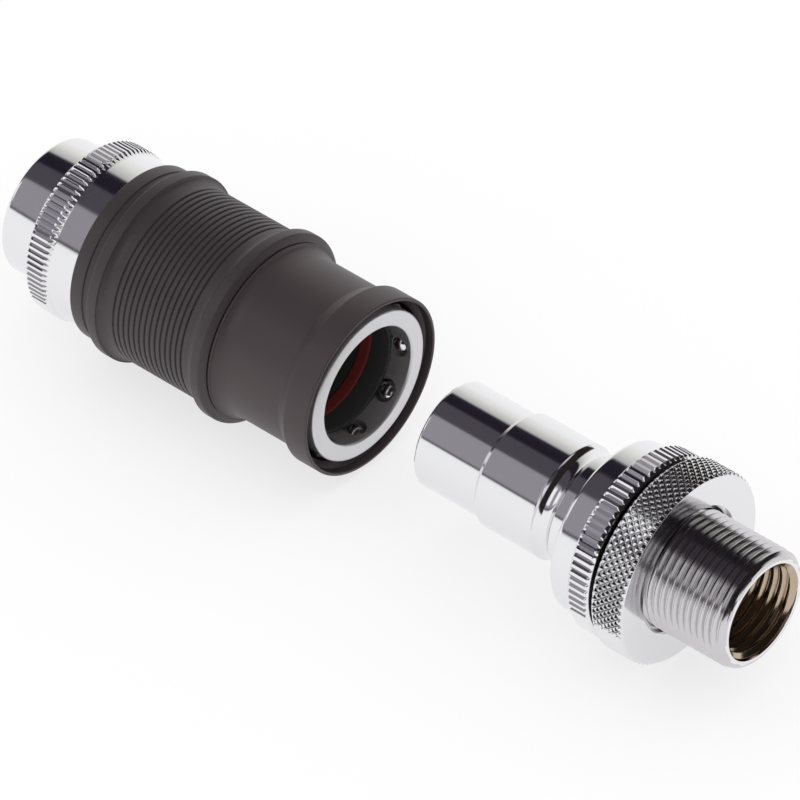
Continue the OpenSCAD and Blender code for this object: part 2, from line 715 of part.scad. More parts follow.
module sleeve_grip() {
    plain_r = grip_d / 2;
    front_r = front_bead_d / 2;
    rear_r = rear_bead_d / 2;
    pitch = rib_zone_l / (rib_count + 1);
    edge = 0.35;
    floor_r = plain_r - rear_groove_depth;
    // hollow curve between the ribs and a bead of radius r, from x0 at the ribs to x1 at the bead
    hollow = function(x0, x1, r)
        [for (i = [0:arc_steps])
            let (a = 90 * i / arc_steps)
            [x0 + (x1 - x0) * sin(a), r - (r - plain_r) * cos(a)]];
    ribs = [for (i = [1:rib_count])
        let (x = rib_front - i * pitch, w = pitch * 0.2)
        each [[x + w, plain_r], [x + w / 2, plain_r - rib_depth], [x - w / 2, plain_r - rib_depth],
            [x - w, plain_r]]];
    front_hollow = hollow(rib_front, front_bead_back, front_r);
    color("#403a3c")
        turned(concat(
            [[grip_front, tube_r + thread_gap], [grip_front, flare_d / 2], [front_bead_front, front_r]],
            [for (i = [arc_steps:-1:0]) front_hollow[i]],
            ribs,
            hollow(rib_back, rear_bead_front, rear_r),
            arc([rear_bead_back + edge, rear_r - edge], edge, 90, 180),
            [[rear_bead_back, plain_r], [rear_bead_back - 0.1, floor_r], [rear_ring_front + 0.1, floor_r],
             [rear_ring_front, plain_r], [grip_back + edge, plain_r], [grip_back, plain_r - edge / 2],
             [grip_back, barrel_d / 2 + running_gap], [tube_back - 0.1, barrel_d / 2 + running_gap],
             [tube_back - 0.1, tube_r + thread_gap]]));
}

module sleeve_spring() {
    mean_r = tube_bore_r - sleeve_wire / 2 - 0.05;
    color("slategray")
        coil_spring(barrel_front + seal_gap, spring_shoulder - stop_gap, mean_r, sleeve_wire, sleeve_turns);
}

// One lock ball at its place n round the mouth
module lock_ball(n) {
    color("white")
        rotate([(n - 1) * step(balls), 0, 0])
            translate([ball_x, 0, ball_ring_r])
                sphere(r = ball_r, $fn = 32);
}

plug_body();
plug_nose();
plug_body_seal();
plug_poppet();
poppet_seal();
plug_spring();
spring_seat();
ring_nut();
nut_gasket();
port_adapter();
ball_cage();
body_seal();
valve_stem();
stem_seal();
valve_sleeve();
nose_seal();
valve_spring();
release_sleeve();
sleeve_grip();
sleeve_spring();
lock_ball(1);  // ball_1
lock_ball(2);  // ball_2
lock_ball(3);  // ball_3
lock_ball(4);  // ball_4
lock_ball(5);  // ball_5
lock_ball(6);  // ball_6
lock_ball(7);  // ball_7
lock_ball(8);  // ball_8
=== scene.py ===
"""Quick coupling for a liquid cooling loop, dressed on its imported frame.

The two halves lie apart on one axis, X. Every piece is made in millimetres in the frame's own place and
written to its mesh in metres, so each finished object sits at the origin.
"""

import json
import logging
import math
from dataclasses import dataclass
from enum import Enum
from typing import Any, Callable, Optional, Sequence, Union

import bmesh
import bpy
import numpy as np
from mathutils import Matrix, Vector

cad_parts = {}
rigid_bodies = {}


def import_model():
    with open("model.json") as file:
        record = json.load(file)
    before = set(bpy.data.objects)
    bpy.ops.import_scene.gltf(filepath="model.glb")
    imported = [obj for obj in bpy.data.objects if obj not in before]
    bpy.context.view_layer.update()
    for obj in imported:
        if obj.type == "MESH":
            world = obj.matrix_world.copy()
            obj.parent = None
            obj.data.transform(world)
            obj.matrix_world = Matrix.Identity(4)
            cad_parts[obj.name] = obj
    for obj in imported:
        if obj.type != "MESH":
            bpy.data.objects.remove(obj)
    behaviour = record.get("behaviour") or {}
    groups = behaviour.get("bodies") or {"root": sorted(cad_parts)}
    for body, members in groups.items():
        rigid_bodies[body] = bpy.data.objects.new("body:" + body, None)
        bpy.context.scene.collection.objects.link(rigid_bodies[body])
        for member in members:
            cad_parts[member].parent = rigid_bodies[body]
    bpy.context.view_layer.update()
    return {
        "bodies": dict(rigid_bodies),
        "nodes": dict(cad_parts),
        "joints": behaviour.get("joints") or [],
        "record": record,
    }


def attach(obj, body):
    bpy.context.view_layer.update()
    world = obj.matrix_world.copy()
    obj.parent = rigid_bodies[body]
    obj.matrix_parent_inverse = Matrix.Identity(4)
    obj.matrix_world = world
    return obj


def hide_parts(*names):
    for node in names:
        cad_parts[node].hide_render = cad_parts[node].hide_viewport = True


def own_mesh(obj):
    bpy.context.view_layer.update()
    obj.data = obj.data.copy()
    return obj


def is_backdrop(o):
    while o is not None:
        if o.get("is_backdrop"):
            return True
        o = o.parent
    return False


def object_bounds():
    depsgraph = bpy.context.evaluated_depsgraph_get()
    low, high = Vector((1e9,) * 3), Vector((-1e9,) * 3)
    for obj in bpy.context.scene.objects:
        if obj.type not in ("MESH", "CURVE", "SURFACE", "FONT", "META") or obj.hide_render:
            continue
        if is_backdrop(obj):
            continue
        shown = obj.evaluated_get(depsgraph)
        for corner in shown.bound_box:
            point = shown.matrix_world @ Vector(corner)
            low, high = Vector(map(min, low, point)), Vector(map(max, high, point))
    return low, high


LOG = logging.getLogger("coupling")
MM = 0.001
TURN = 2.0 * math.pi
Array = np.ndarray
Colour = tuple[float, float, float]
Corner = Union[Sequence[float], Array]
WHITE = (1.0, 1.0, 1.0, 1.0)
SHARP = 34.0  # angle between two faces, in degrees, past which their edge is drawn sharp
SKIN = 0.02  # clearance between pieces that touch, in mm
KNURL_EDGE = 0.41  # width of a knurled ring's edge chamfers, in mm
KNURL_PITCH = 0.14  # longest side of a knurled ring's section, in mm
THREAD_COLUMNS = 160  # sides of a threaded piece
TURN_STEPS = 40  # steps of a spring's wire for each turn
WIRE_SIDES = 12  # sides of that wire


# ---------------------------------------------------------------- colours and shader maths


def linear(red: int, green: int, blue: int) -> Colour:
    """Turns a display colour of 0 to 255 into the linear values that shaders use.

    Args:
        red: Red as displayed.
        green: Green as displayed.
        blue: Blue as displayed.

    Returns:
        The same colour in linear light, from 0 to 1.
    """
    shown = np.array([red, green, blue]) / 255.0
    value = np.where(shown <= 0.04045, shown / 12.92, ((shown + 0.055) / 1.055) ** 2.4)
    return (float(value[0]), float(value[1]), float(value[2]))


def _with_other(operation: str, swapped: bool = False) -> Callable[["Signal", "Operand"], "Signal"]:
    """Makes a method of Signal that puts one Math node to the signal and another value.

    Args:
        operation: The node's operation.
        swapped: True if the other value comes first.

    Returns:
        The method.
    """

    def method(signal: "Signal", other: "Operand") -> "Signal":
        """Result of the node."""
        return signal.math(operation, *((other, signal) if swapped else (signal, other)))

    return method


class Signal:
    """One output of a node, with the arithmetic that shader patterns need."""

    def __init__(self, graph: "Graph", socket: bpy.types.NodeSocket) -> None:
        """Wraps a socket.

        Args:
            graph: The graph that holds the socket's node.
            socket: The output that the signal stands for.
        """
        self.graph = graph
        self.socket = socket

    def math(self, operation: str, *values: "Operand") -> "Signal":
        """Adds one Math node.

        Args:
            operation: The node's operation.
            *values: Its inputs in order.

        Returns:
            The node's result.
        """
        inputs = dict(enumerate(values))
        return self.graph.node("ShaderNodeMath", {"operation": operation}, inputs)

    __add__ = _with_other("ADD")
    __radd__ = _with_other("ADD", True)
    __sub__ = _with_other("SUBTRACT")
    __mul__ = _with_other("MULTIPLY")
    __rmul__ = _with_other("MULTIPLY", True)
    __truediv__ = _with_other("DIVIDE")
    angle_with = _with_other("ARCTAN2")
    most = _with_other("MAXIMUM")

    def __neg__(self) -> "Signal":
        """Opposite."""
        return self * -1.0

    def __abs__(self) -> "Signal":
        """Absolute value."""
        return self.math("ABSOLUTE", self)

    def root(self) -> "Signal":
        """Square root."""
        return self.math("SQRT", self)

    def step(self, low: float, high: float) -> "Signal":
        """Smooth step.

        Args:
            low: Value at which the step starts.
            high: Value at which it ends. It may be below low, which turns the step round.

        Returns:
            0 before the step, 1 after it.
        """
        settings = {"interpolation_type": "SMOOTHSTEP"}
        first, last, start, end = (low, high, 0.0, 1.0) if low < high else (high, low, 1.0, 0.0)
        inputs = {0: self, 1: first, 2: last, 3: start, 4: end}
        return self.graph.node("ShaderNodeMapRange", settings, inputs)


Operand = Union[Signal, float, Sequence[float]]


class Graph:
    """The node tree of a material or of the world."""

    def __init__(self, tree: bpy.types.NodeTree) -> None:
        """Empties a tree.

        Args:
            tree: The tree to fill.
        """
        self.tree = tree
        tree.nodes.clear()

    def node(
        self,
        kind: str,
        settings: Optional[dict[str, Any]] = None,
        inputs: Optional[dict[Union[int, str], Operand]] = None,
        output: Union[int, str] = 0,
    ) -> Signal:
        """Adds a node.

        Args:
            kind: The node's type.
            settings: Its settings. "stops" holds a ramp's stops as (position, colour) pairs.
            inputs: Values or links of its inputs, by name or number.
            output: The output to return.

        Returns:
            That output.
        """
        made = self.tree.nodes.new(kind)
        for name, value in (settings or {}).items():
            if name == "stops":
                self._stops(made.color_ramp, value)
            else:
                setattr(made, name, value)
        for key, value in (inputs or {}).items():
            if isinstance(value, Signal):
                self.tree.links.new(value.socket, made.inputs[key])
            else:
                made.inputs[key].default_value = value
        return Signal(self, made.outputs[output] if made.outputs else None)

    @staticmethod
    def _stops(ramp: bpy.types.ColorRamp, stops: Sequence[tuple[float, Colour]]) -> None:
        """Sets a ramp's stops.

        Args:
            ramp: The ramp to set.
            stops: Its (position, colour) pairs in rising order.
        """
        while len(ramp.elements) < len(stops):
            ramp.elements.new(1.0)
        for element, (place, colour) in zip(ramp.elements, stops):
            element.position = place
            element.color = (*colour, 1.0)

    def mix(self, share: Operand, first: Operand, second: Operand) -> Signal:
        """Mixes two colours.

        Args:
            share: Share of the second colour.
            first: Colour at share 0.
            second: Colour at share 1.

        Returns:
            The mixed colour.
        """
        colours = [value if isinstance(value, Signal) else (*value, 1.0) for value in (first, second)]
        inputs = {0: share, 6: colours[0], 7: colours[1]}
        return self.node("ShaderNodeMix", {"data_type": "RGBA"}, inputs, output=2)

    def place(self) -> Signal:
        """Position on the object, in metres."""
        return self.node("ShaderNodeTexCoord", output="Object")

    def axes(self, vector: Signal) -> tuple[Signal, Signal, Signal]:
        """Splits a vector.

        Args:
            vector: The vector.

        Returns:
            Its three components.
        """
        first = self.node("ShaderNodeSeparateXYZ", inputs={0: vector})
        outputs = first.socket.node.outputs
        return (first, Signal(self, outputs[1]), Signal(self, outputs[2]))

    def noise(self, vector: Signal, scale: float, detail: float = 2.0) -> Signal:
        """Noise from 0 to 1 at the places of a vector, by its fineness and its octaves."""
        inputs = {"Vector": vector, "Scale": scale, "Detail": detail, "Roughness": 0.55}
        return self.node("ShaderNodeTexNoise", {"noise_dimensions": "3D"}, inputs, output="Fac")

    def bump(self, height: Signal, depth: float) -> Signal:
        """Bent normal of a relief of 0 to 1 that is depth metres deep."""
        return self.node("ShaderNodeBump", None, {"Strength": 1.0, "Distance": depth, "Height": height})


# ---------------------------------------------------------------- finishes


@dataclass(frozen=True)
class Finish:
    """A finish that covers a piece: a name and what its shader is made of."""

    name: str

    def material(self) -> bpy.types.Material:
        """Makes the material once, and finds it again after that.

        Returns:
            The material.
        """
        known = bpy.data.materials.get(self.name)
        if known is not None:
            return known
        made = bpy.data.materials.new(self.name)
        made.use_nodes = True
        graph = Graph(made.node_tree)
        shader = self.shader(graph)
        graph.node("ShaderNodeOutputMaterial", None, {"Surface": shader})
        return made

    def shader(self, graph: Graph) -> Signal:
        """Builds the finish's shader.

        Args:
            graph: The material's graph.

        Returns:
            The shader.
        """
        raise NotImplementedError

    @staticmethod
    def lathe_place(graph: Graph, along: float, round_it: float) -> Signal:
        """Coordinates in which noise draws out into fine rings round the axis, as a lathe leaves them.

        Formula: the x part and the radius are stretched by along, and the angle round the axis by round_it.
        So one step of noise is short along the axis and long round it.

        Args:
            graph: The material's graph.
            along: Stretch along the axis, per metre.
            round_it: Stretch round the axis, per turn.

        Returns:
            The coordinates.
        """
        x, y, z = graph.axes(graph.place())
        radius = (y * y + z * z).root()
        angle = y.angle_with(z)
        inputs = {0: x * along, 1: radius * along, 2: angle * (round_it / TURN)}
        return graph.node("ShaderNodeCombineXYZ", None, inputs)


@dataclass(frozen=True)
class Plated(Finish):
    """Bright plating on turned metal: a near mirror with faint smears and turning rings."""

    tint: Colour = (0.93, 0.93, 0.94)
    roughness: float = 0.04
    smear: float = 0.03
    ring_depth: float = 0.0
    ring_fineness: float = 9000.0
    cloud_fineness: float = 260.0

    def shader(self, graph: Graph) -> Signal:
        """Builds the plating.

        Args:
            graph: The material's graph.

        Returns:
            The shader.
        """
        cloud = graph.noise(graph.place(), self.cloud_fineness, 3.0)
        tint = graph.mix(cloud.step(0.35, 0.75) * 0.35, self.tint, tuple(0.94 * part for part in self.tint))
        rough = self.roughness + self.smear * cloud.step(0.45, 0.8)
        inputs: dict[Union[int, str], Operand] = {"Base Color": tint, "Metallic": 1.0, "Roughness": rough}
        if self.ring_depth > 0.0:
            rings = graph.noise(self.lathe_place(graph, self.ring_fineness, 3.0), 1.0, 3.0)
            inputs["Normal"] = graph.bump(rings, self.ring_depth)
            inputs["Roughness"] = rough + 0.10 * rings.step(0.4, 0.8)
        return graph.node("ShaderNodeBsdfPrincipled", None, inputs)


@dataclass(frozen=True)
class SoftBlack(Finish):
    """Matte black coat on metal, with a fine even grain."""

    colour: Colour = (0.03, 0.027, 0.028)
    roughness: float = 0.48
    grain: float = 7000.0
    grain_depth: float = 0.00002
    cloud_fineness: float = 180.0

    def shader(self, graph: Graph) -> Signal:
        """Builds the coat.

        Args:
            graph: The material's graph.

        Returns:
            The shader.
        """
        grain = graph.noise(graph.place(), self.grain, 2.0)
        cloud = graph.noise(graph.place(), self.cloud_fineness, 3.0)
        light = tuple(min(1.0, 1.45 * part) for part in self.colour)
        colour = graph.mix(grain.step(0.3, 0.75) * 0.6 + cloud * 0.2, self.colour, light)
        rough = self.roughness + 0.10 * cloud.step(0.3, 0.7) - 0.06 * grain.step(0.5, 0.8)
        inputs = {
            "Base Color": colour,
            "Roughness": rough,
            "Specular IOR Level": 0.5,
            "Normal": graph.bump(grain, self.grain_depth),
        }
        return graph.node("ShaderNodeBsdfPrincipled", None, inputs)


@dataclass(frozen=True)
class Moulded(Finish):
    """Rubber or plastic, with a slight sheen and a fine bloom."""

    colour: Colour = (0.02, 0.02, 0.02)
    roughness: float = 0.45
    bloom_fineness: float = 2400.0
    bloom_depth: float = 0.00001

    def shader(self, graph: Graph) -> Signal:
        """Builds the rubber or plastic.

        Args:
            graph: The material's graph.

        Returns:
            The shader.
        """
        bloom = graph.noise(graph.place(), self.bloom_fineness, 3.0)
        light = tuple(min(1.0, 1.3 * part + 0.004) for part in self.colour)
        inputs = {
            "Base Color": graph.mix(bloom, self.colour, light),
            "Roughness": self.roughness + 0.15 * (bloom - 0.5),
            "Normal": graph.bump(bloom, self.bloom_depth),
        }
        return graph.node("ShaderNodeBsdfPrincipled", None, inputs)


CHROME = Plated("polished_chrome")
KNURL_CHROME = Plated("knurled_chrome", roughness=0.06, smear=0.05)
CUT_RINGS = 0.000006
TURNED_RINGS = 0.000004
# The thread has the same plating as the chrome, drawn at a lower tint: painted shade of the thread's grooves.
THREAD_PLATING_PAINTED_SHADE = Plated("thread_plating_painted_shade", (0.64, 0.62, 0.64), 0.13, 0.08, CUT_RINGS)
# The bore's brass tint is thin plating showing brass through; its darkness is painted shade of the port's
# bore.
BORE_BRASS_PAINTED_SHADE = Plated("thin_plated_bore_painted_shade", (0.50, 0.40, 0.30), 0.12, 0.08, CUT_RINGS)
SATIN = Plated("satin_nickel", (0.74, 0.74, 0.76), 0.26, 0.06, TURNED_RINGS, 14000.0)
BRIGHT_BRASS = Plated("bright_brass", (0.78, 0.60, 0.33), 0.16, 0.06, TURNED_RINGS)
SPRING_STEEL = Plated("spring_steel", (0.55, 0.55, 0.57), 0.22, 0.08)
BALL_STEEL = Plated("ball_steel", (0.88, 0.88, 0.9), 0.03, 0.02)
SLEEVE_BLACK = SoftBlack("matte_black_sleeve")
GRIP_BLACK = SoftBlack("matte_black_grip", (0.028, 0.025, 0.027), 0.5)
DARK_PLASTIC = Moulded("dark_plastic", (0.03, 0.028, 0.03), 0.34)
BLACK_SEAL = Moulded("black_seal", (0.012, 0.012, 0.012), 0.42)
# The seal is red rubber, drawn almost black: painted shade of the socket's interior.
RED_SEAL_PAINTED_SHADE = Moulded("red_seal", (0.022, 0.002, 0.002), 0.4)


# ---------------------------------------------------------------- shapes


def rounded(corners: Sequence[tuple[float, float, float]], steps: int = 6) -> Array:
    """Rounds the corners of a closed outline.

    Formula: each corner gives way to an arc that touches both of its sides. The arc's centre lies on the
    corner's bisector, at radius / sin(half the corner's angle), and its points turn evenly from one side to
    the other. A rounding that is too large for its sides shrinks to half of the shorter one.

    Args:
        corners: The corners as (x, radius from the axis, rounding), in mm.
        steps: Sides of each arc.

    Returns:
        The outline's points, as rows of x and radius.
    """
    data = np.array(corners, float)
    point, rounding = data[:, :2], data[:, 2:]
    back = np.roll(point, 1, axis=0) - point
    ahead = np.roll(point, -1, axis=0) - point
    back_length = np.linalg.norm(back, axis=1, keepdims=True)
    ahead_length = np.linalg.norm(ahead, axis=1, keepdims=True)
    back, ahead = back / back_length, ahead / ahead_length
    half = np.arccos(np.clip((back * ahead).sum(1, keepdims=True), -1.0, 1.0)) / 2.0
    reach = np.minimum(rounding / np.tan(half), 0.498 * np.minimum(back_length, ahead_length))
    bisector = back + ahead
    size = np.maximum(np.linalg.norm(bisector, axis=1, keepdims=True), 1e-9)
    centre = point + bisector / size * reach / np.cos(half)
    first = point + back * reach - centre
    last = point + ahead * reach - centre
    turn = np.maximum(math.pi - 2.0 * half, 1e-6)[:, None]
    share = np.linspace(0.0, 1.0, steps + 1)[None, :, None]
    swing = np.sin((1.0 - share) * turn) * first[:, None] + np.sin(share * turn) * last[:, None]
    arcs = centre[:, None] + swing / np.sin(turn)
    arcs = np.where(rounding[:, None] > 0.0, arcs, point[:, None])
    flat = arcs.reshape(-1, 2)
    apart = np.linalg.norm(flat - np.roll(flat, 1, axis=0), axis=1) > 1e-5
    return flat[apart]


def bow(start: tuple[float, float], end: tuple[float, float], flat_at_start: bool, steps: int = 12) -> Array:
    """Quarter ellipse between two outline points, along the axis at one end and across it at the other.

    Formula: one coordinate goes by the sine and the other by one less the cosine of an angle from 0 to 90
    degrees.

    Args:
        start: First point, as x and radius.
        end: Last point.
        flat_at_start: True if the curve runs along the axis at its first point.
        steps: Sides of the curve.

    Returns:
        The curve's points with no rounding, as rows of x, radius and 0.
    """
    angle = np.linspace(0.0, math.pi / 2.0, steps + 1)
    along = np.sin(angle) if flat_at_start else 1.0 - np.cos(angle)
    across = 1.0 - np.cos(angle) if flat_at_start else np.sin(angle)
    x = start[0] + (end[0] - start[0]) * along
    radius = start[1] + (end[1] - start[1]) * across
    return np.stack([x, radius, np.zeros_like(x)], axis=1)


def outline(*parts: Corner) -> list[tuple[float, float, float]]:
    """Joins corners and curves to one list of corners.

    Args:
        *parts: Corners of two or three numbers, and curves as rows of them.

    Returns:
        The corners as (x, radius, rounding).
    """
    rows = [np.atleast_2d(np.array(part, float)) for part in parts]
    padded = [np.pad(row, ((0, 0), (0, 3 - row.shape[1]))) for row in rows]
    return [tuple(row) for row in np.concatenate(padded)]


def around(x: Array, radius: Array, angle: Array) -> Array:
    """Places a grid round the axis.

    Formula: y is minus the radius times the sine of the angle, and z is the radius times its cosine.

    Args:
        x: Places along the axis, in mm, one row for each line round the piece.
        radius: Distances from the axis, in mm.
        angle: Angles from straight up, in radians, one for each column.

    Returns:
        The grid's points in mm, of shape (rows, columns, 3).
    """
    x, radius, angle = np.broadcast_arrays(x, radius, angle)
    return np.stack([x, -radius * np.sin(angle), radius * np.cos(angle)], axis=2)


def quads(rows: int, columns: int, close_rows: bool, close_columns: bool) -> Array:
    """Four-sided faces of a grid whose points are numbered row by row.

    Args:
        rows: Rows of points.
        columns: Points in a row.
        close_rows: True if the last row is joined to the first.
        close_columns: True if the last column is joined to the first.

    Returns:
        The faces, as rows of four point numbers.
    """
    cells = np.arange(rows - (not close_rows)), np.arange(columns - (not close_columns))
    row, column = np.meshgrid(*cells, indexing="ij")
    below, beside = (row + 1) % rows, (column + 1) % columns
    near, far = row * columns, below * columns
    return np.stack([near + column, near + beside, far + beside, far + column], axis=2).reshape(-1, 4)


def spread(section: Array, pitch: float) -> Array:
    """Adds points to a closed section, so that none of its sides is longer than the pitch.

    Formula: each side is cut in the least number of equal parts that is short enough.

    Args:
        section: The section, as rows of x and radius.
        pitch: Longest side allowed, in mm.

    Returns:
        The finer section.
    """
    ahead = np.roll(section, -1, axis=0)
    parts = np.maximum(np.ceil(np.linalg.norm(ahead - section, axis=1) / pitch).astype(int), 1)
    start = np.repeat(np.arange(len(section)), parts)
    first = np.concatenate([[0], np.cumsum(parts)[:-1]])
    share = (np.arange(parts.sum()) - np.repeat(first, parts)) / np.repeat(parts, parts)
    return section[start] + (ahead[start] - section[start]) * share[:, None]


@dataclass(frozen=True)
class StraightKnurl:
    """Straight knurl: flat-topped teeth with rounded vee grooves between them."""

    teeth: int
    radius: float
    depth: float = 0.34

    def columns(self) -> tuple[Array, Array]:
        """Angles and radii round the knurl.

        Formula: each tooth has seven columns, two at each edge of its top, and three in the groove.

        Returns:
            The angles in radians over a full turn, and the radius at each of them.
        """
        place = np.array([0.00, 0.03, 0.42, 0.45, 0.69, 0.725, 0.76])
        sunk = np.array([0.10, 0.00, 0.00, 0.10, 0.93, 1.00, 0.93])
        tooth = np.arange(self.teeth)[:, None]
        angle = ((tooth + place[None, :]) * TURN / self.teeth).ravel()
        radius = self.radius - self.depth * np.tile(sunk, self.teeth)
        return np.append(angle, TURN)[None, :], np.append(radius, radius[0])[None, :]

    def ring(self, name: str, parts: Sequence[Corner], steps: int = 6) -> bpy.types.Object:
        """Plated turned ring whose radius is cut down to the knurl's.

        Args:
            name: The piece's name.
            parts: Corners and curves of its closed outline.
            steps: Sides of each rounded corner.

        Returns:
            The piece.
        """
        angle, teeth = self.columns()
        fine = spread(rounded(outline(*parts), steps), KNURL_PITCH)
        return make_piece(name, around(fine[:, :1], np.minimum(fine[:, 1:], teeth), angle), [CHROME])


@dataclass(frozen=True)
class ScrewThread:
    """Screw thread of 60 or 55 degrees, with rounded crests and roots."""

    pitch: float
    crest: float
    root: float

    def rows(
        self, start: float, end: float, angle: Array, limit: Callable[[Array], Array]
    ) -> tuple[Array, Array]:
        """Lines that follow the helix from start to end.

        Formula: line i lies at x = start + pitch * (i / lines per turn + angle / one turn), cut to the two
        ends. Its radius comes from its place in the thread's section, and never passes the limit at its x.
        The smaller of the two counts outside, the larger inside.

        Args:
            start: x where the thread starts, in mm.
            end: x where it ends, on either side of start.
            angle: Angles of the columns.
            limit: Radius of the plain outline at an x.

        Returns:
            x and radius of each line at each angle.
        """
        share = np.array([0.0, 0.05, 0.10, 0.36, 0.42, 0.50, 0.58, 0.64, 0.90, 0.95])
        height = np.array([1.0, 0.985, 0.90, 0.10, 0.015, 0.0, 0.015, 0.10, 0.90, 0.985])
        low, high = min(start, end), max(start, end)
        turns = int(math.ceil((high - low) / self.pitch)) + 1
        place = (np.arange(-1, turns)[:, None] + share[None, :]).ravel()
        level = np.tile(height, turns + 1)
        x = np.clip(low + self.pitch * (place[:, None] + angle / TURN), low, high)
        cut = np.broadcast_to((self.root + (self.crest - self.root) * level)[:, None], x.shape)
        plain = limit(x)
        radius = np.minimum(cut, plain) if self.crest > self.root else np.maximum(cut, plain)
        if start > end:
            return x[::-1], radius[::-1]
        return x, radius


@dataclass(frozen=True)
class Port:
    """Threaded port for a hose fitting, with a cone at its mouth. Sizes in mm."""

    mouth: float
    inward: float
    radius: float = 5.9
    root: float = 6.58
    pitch: float = 1.337
    lead: float = 0.7
    length: float = 9.0
    passage: float = 4.8

    @property
    def end(self) -> float:
        """x where the thread ends."""
        return self.mouth + self.inward * (self.lead + self.length)

    @property
    def lead_radius(self) -> float:
        """Radius of the cone at the mouth."""
        return self.radius + self.lead

    def plain(self, x: Array) -> Array:
        """Radius of the port's plain outline at an x: a cone of 45 degrees at its mouth."""
        return np.maximum(self.lead_radius - np.abs(x - self.mouth), self.radius)

    def rows(self, angle: Array) -> tuple[Array, Array]:
        """Lines of the port's thread, from the mouth inwards.

        Args:
            angle: Angles of the columns.

        Returns:
            x and radius of each line at each angle.
        """
        thread = ScrewThread(self.pitch, self.radius, self.root)
        return thread.rows(self.mouth, self.end, angle, self.plain)

    def holds(self, middle: Array) -> Array:
        """True for each face in the port, by the faces' middles in mm."""
        return np.linalg.norm(middle[:, 1:], axis=1) < self.lead_radius - SKIN


def make_piece(
    name: str,
    grid: Array,
    finishes: Sequence[Finish],
    sharp: float = SHARP,
    pick: Optional[Callable[[Array], Array]] = None,
    split: Optional[Array] = None,
) -> bpy.types.Object:
    """Makes a closed ring-shaped mesh from a grid.

    Each row is joined to the next and the last row to the first. The last column lies on the first, row by
    row or a whole turn of a helix further, and their points are merged.

    Args:
        name: The piece's name.
        grid: Points in mm, of shape (rows, columns, 3).
        finishes: Its finishes.
        sharp: Angle between two faces, in degrees, past which their edge is drawn sharp.
        pick: Gives each face's finish from the faces' middles in mm.
        split: True for each cell cut along its other diagonal. Cells stay whole when it is left out.

    Returns:
        The piece.
    """
    rows, columns = grid.shape[:2]
    corner = quads(rows, columns, True, False)
    if _area(grid[:, 0]) < 0.0:
        corner = corner[:, ::-1]
    if split is None:
        faces = corner
    else:
        other = np.resize(split, (rows, columns - 1)).reshape(-1, 1)
        one = np.where(other, corner[:, [0, 1, 3]], corner[:, [0, 1, 2]])
        two = np.where(other, corner[:, [1, 2, 3]], corner[:, [0, 2, 3]])
        faces = np.concatenate([one, two])
    mesh = bpy.data.meshes.new(name)
    fill_mesh(mesh, grid.reshape(-1, 3) * MM, faces)
    weld(mesh)
    return finish_piece(name, mesh, finishes, sharp, pick)


def _area(line: Array) -> float:
    """Twice the signed area of a section, positive if the faces built on it point outwards."""
    x, radius = line[:, 0], np.linalg.norm(line[:, 1:], axis=1)
    return float((x * np.roll(radius, -1) - np.roll(x, -1) * radius).sum())


def fill_mesh(mesh: bpy.types.Mesh, points: Array, faces: Array) -> None:
    """Writes points and faces of one kind into an empty mesh.

    Args:
        mesh: The mesh.
        points: Points in metres.
        faces: Rows of point numbers.
    """
    count, sides = faces.shape
    mesh.vertices.add(len(points))
    mesh.vertices.foreach_set("co", points.astype(np.float32).ravel())
    mesh.loops.add(count * sides)
    mesh.loops.foreach_set("vertex_index", faces.astype(np.int32).ravel())
    mesh.polygons.add(count)
    mesh.polygons.foreach_set("loop_start", np.arange(0, count * sides, sides, dtype=np.int32))
    mesh.update(calc_edges=True)


def weld(mesh: bpy.types.Mesh, reach: float = 0.0006) -> None:
    """Merges points that lie on each other and drops faces with no area.

    Args:
        mesh: The mesh.
        reach: Largest distance between merged points, in mm.
    """
    work = bmesh.new()
    work.from_mesh(mesh)
    bmesh.ops.remove_doubles(work, verts=work.verts, dist=reach * MM)
    bmesh.ops.dissolve_degenerate(work, dist=reach * MM * 0.1, edges=work.edges)
    work.to_mesh(mesh)
    work.free()
    mesh.update()


def finish_piece(
    name: str,
    mesh: bpy.types.Mesh,
    finishes: Sequence[Finish],
    sharp: float = SHARP,
    pick: Optional[Callable[[Array], Array]] = None,
) -> bpy.types.Object:
    """Makes the object of a mesh and gives it its finishes.

    Args:
        name: The piece's name.
        mesh: Its mesh, in place.
        finishes: Its finishes.
        sharp: Angle between two faces, in degrees, past which their edge is drawn sharp.
        pick: Gives each face's finish from the faces' middles in mm.

    Returns:
        The piece.
    """
    for finish in finishes:
        mesh.materials.append(finish.material())
    if pick is not None:
        middles = np.zeros(len(mesh.polygons) * 3, np.float32)
        mesh.polygons.foreach_get("center", middles)
        chosen = pick(middles.reshape(-1, 3) / MM).astype(np.int32)
        mesh.polygons.foreach_set("material_index", chosen)
    mesh.shade_smooth()
    mesh.set_sharp_from_angle(angle=math.radians(sharp))
    piece = bpy.data.objects.new(name, mesh)
    bpy.context.scene.collection.objects.link(piece)
    return piece


def turned(
    name: str, finish: Finish, parts: Sequence[Corner], steps: int = 6, columns: int = 256
) -> bpy.types.Object:
    """Makes a turned piece.

    Args:
        name: The piece's name.
        finish: Its finish.
        parts: Corners and curves of its closed outline.
        steps: Sides of each rounded corner.
        columns: Sides round the axis.

    Returns:
        The piece.
    """
    section = rounded(outline(*parts), steps)
    angle = np.linspace(0.0, TURN, columns + 1)[None, :]
    return make_piece(name, around(section[:, :1], section[:, 1:], angle), [finish])


def settle(piece: bpy.types.Object, body: str, slot: str, *nodes: str) -> bpy.types.Object:
    """Lets a piece ride on a body in place of its solids.

    Args:
        piece: The piece.
        body: The body that carries it.
        slot: Not used.
        *nodes: The solids that it stands for.

    Returns:
        The piece.
    """
    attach(piece, body)
    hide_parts(*nodes)
    LOG.info("%s: rides on %s, %d faces", piece.name, body, len(piece.data.polygons))
    return piece


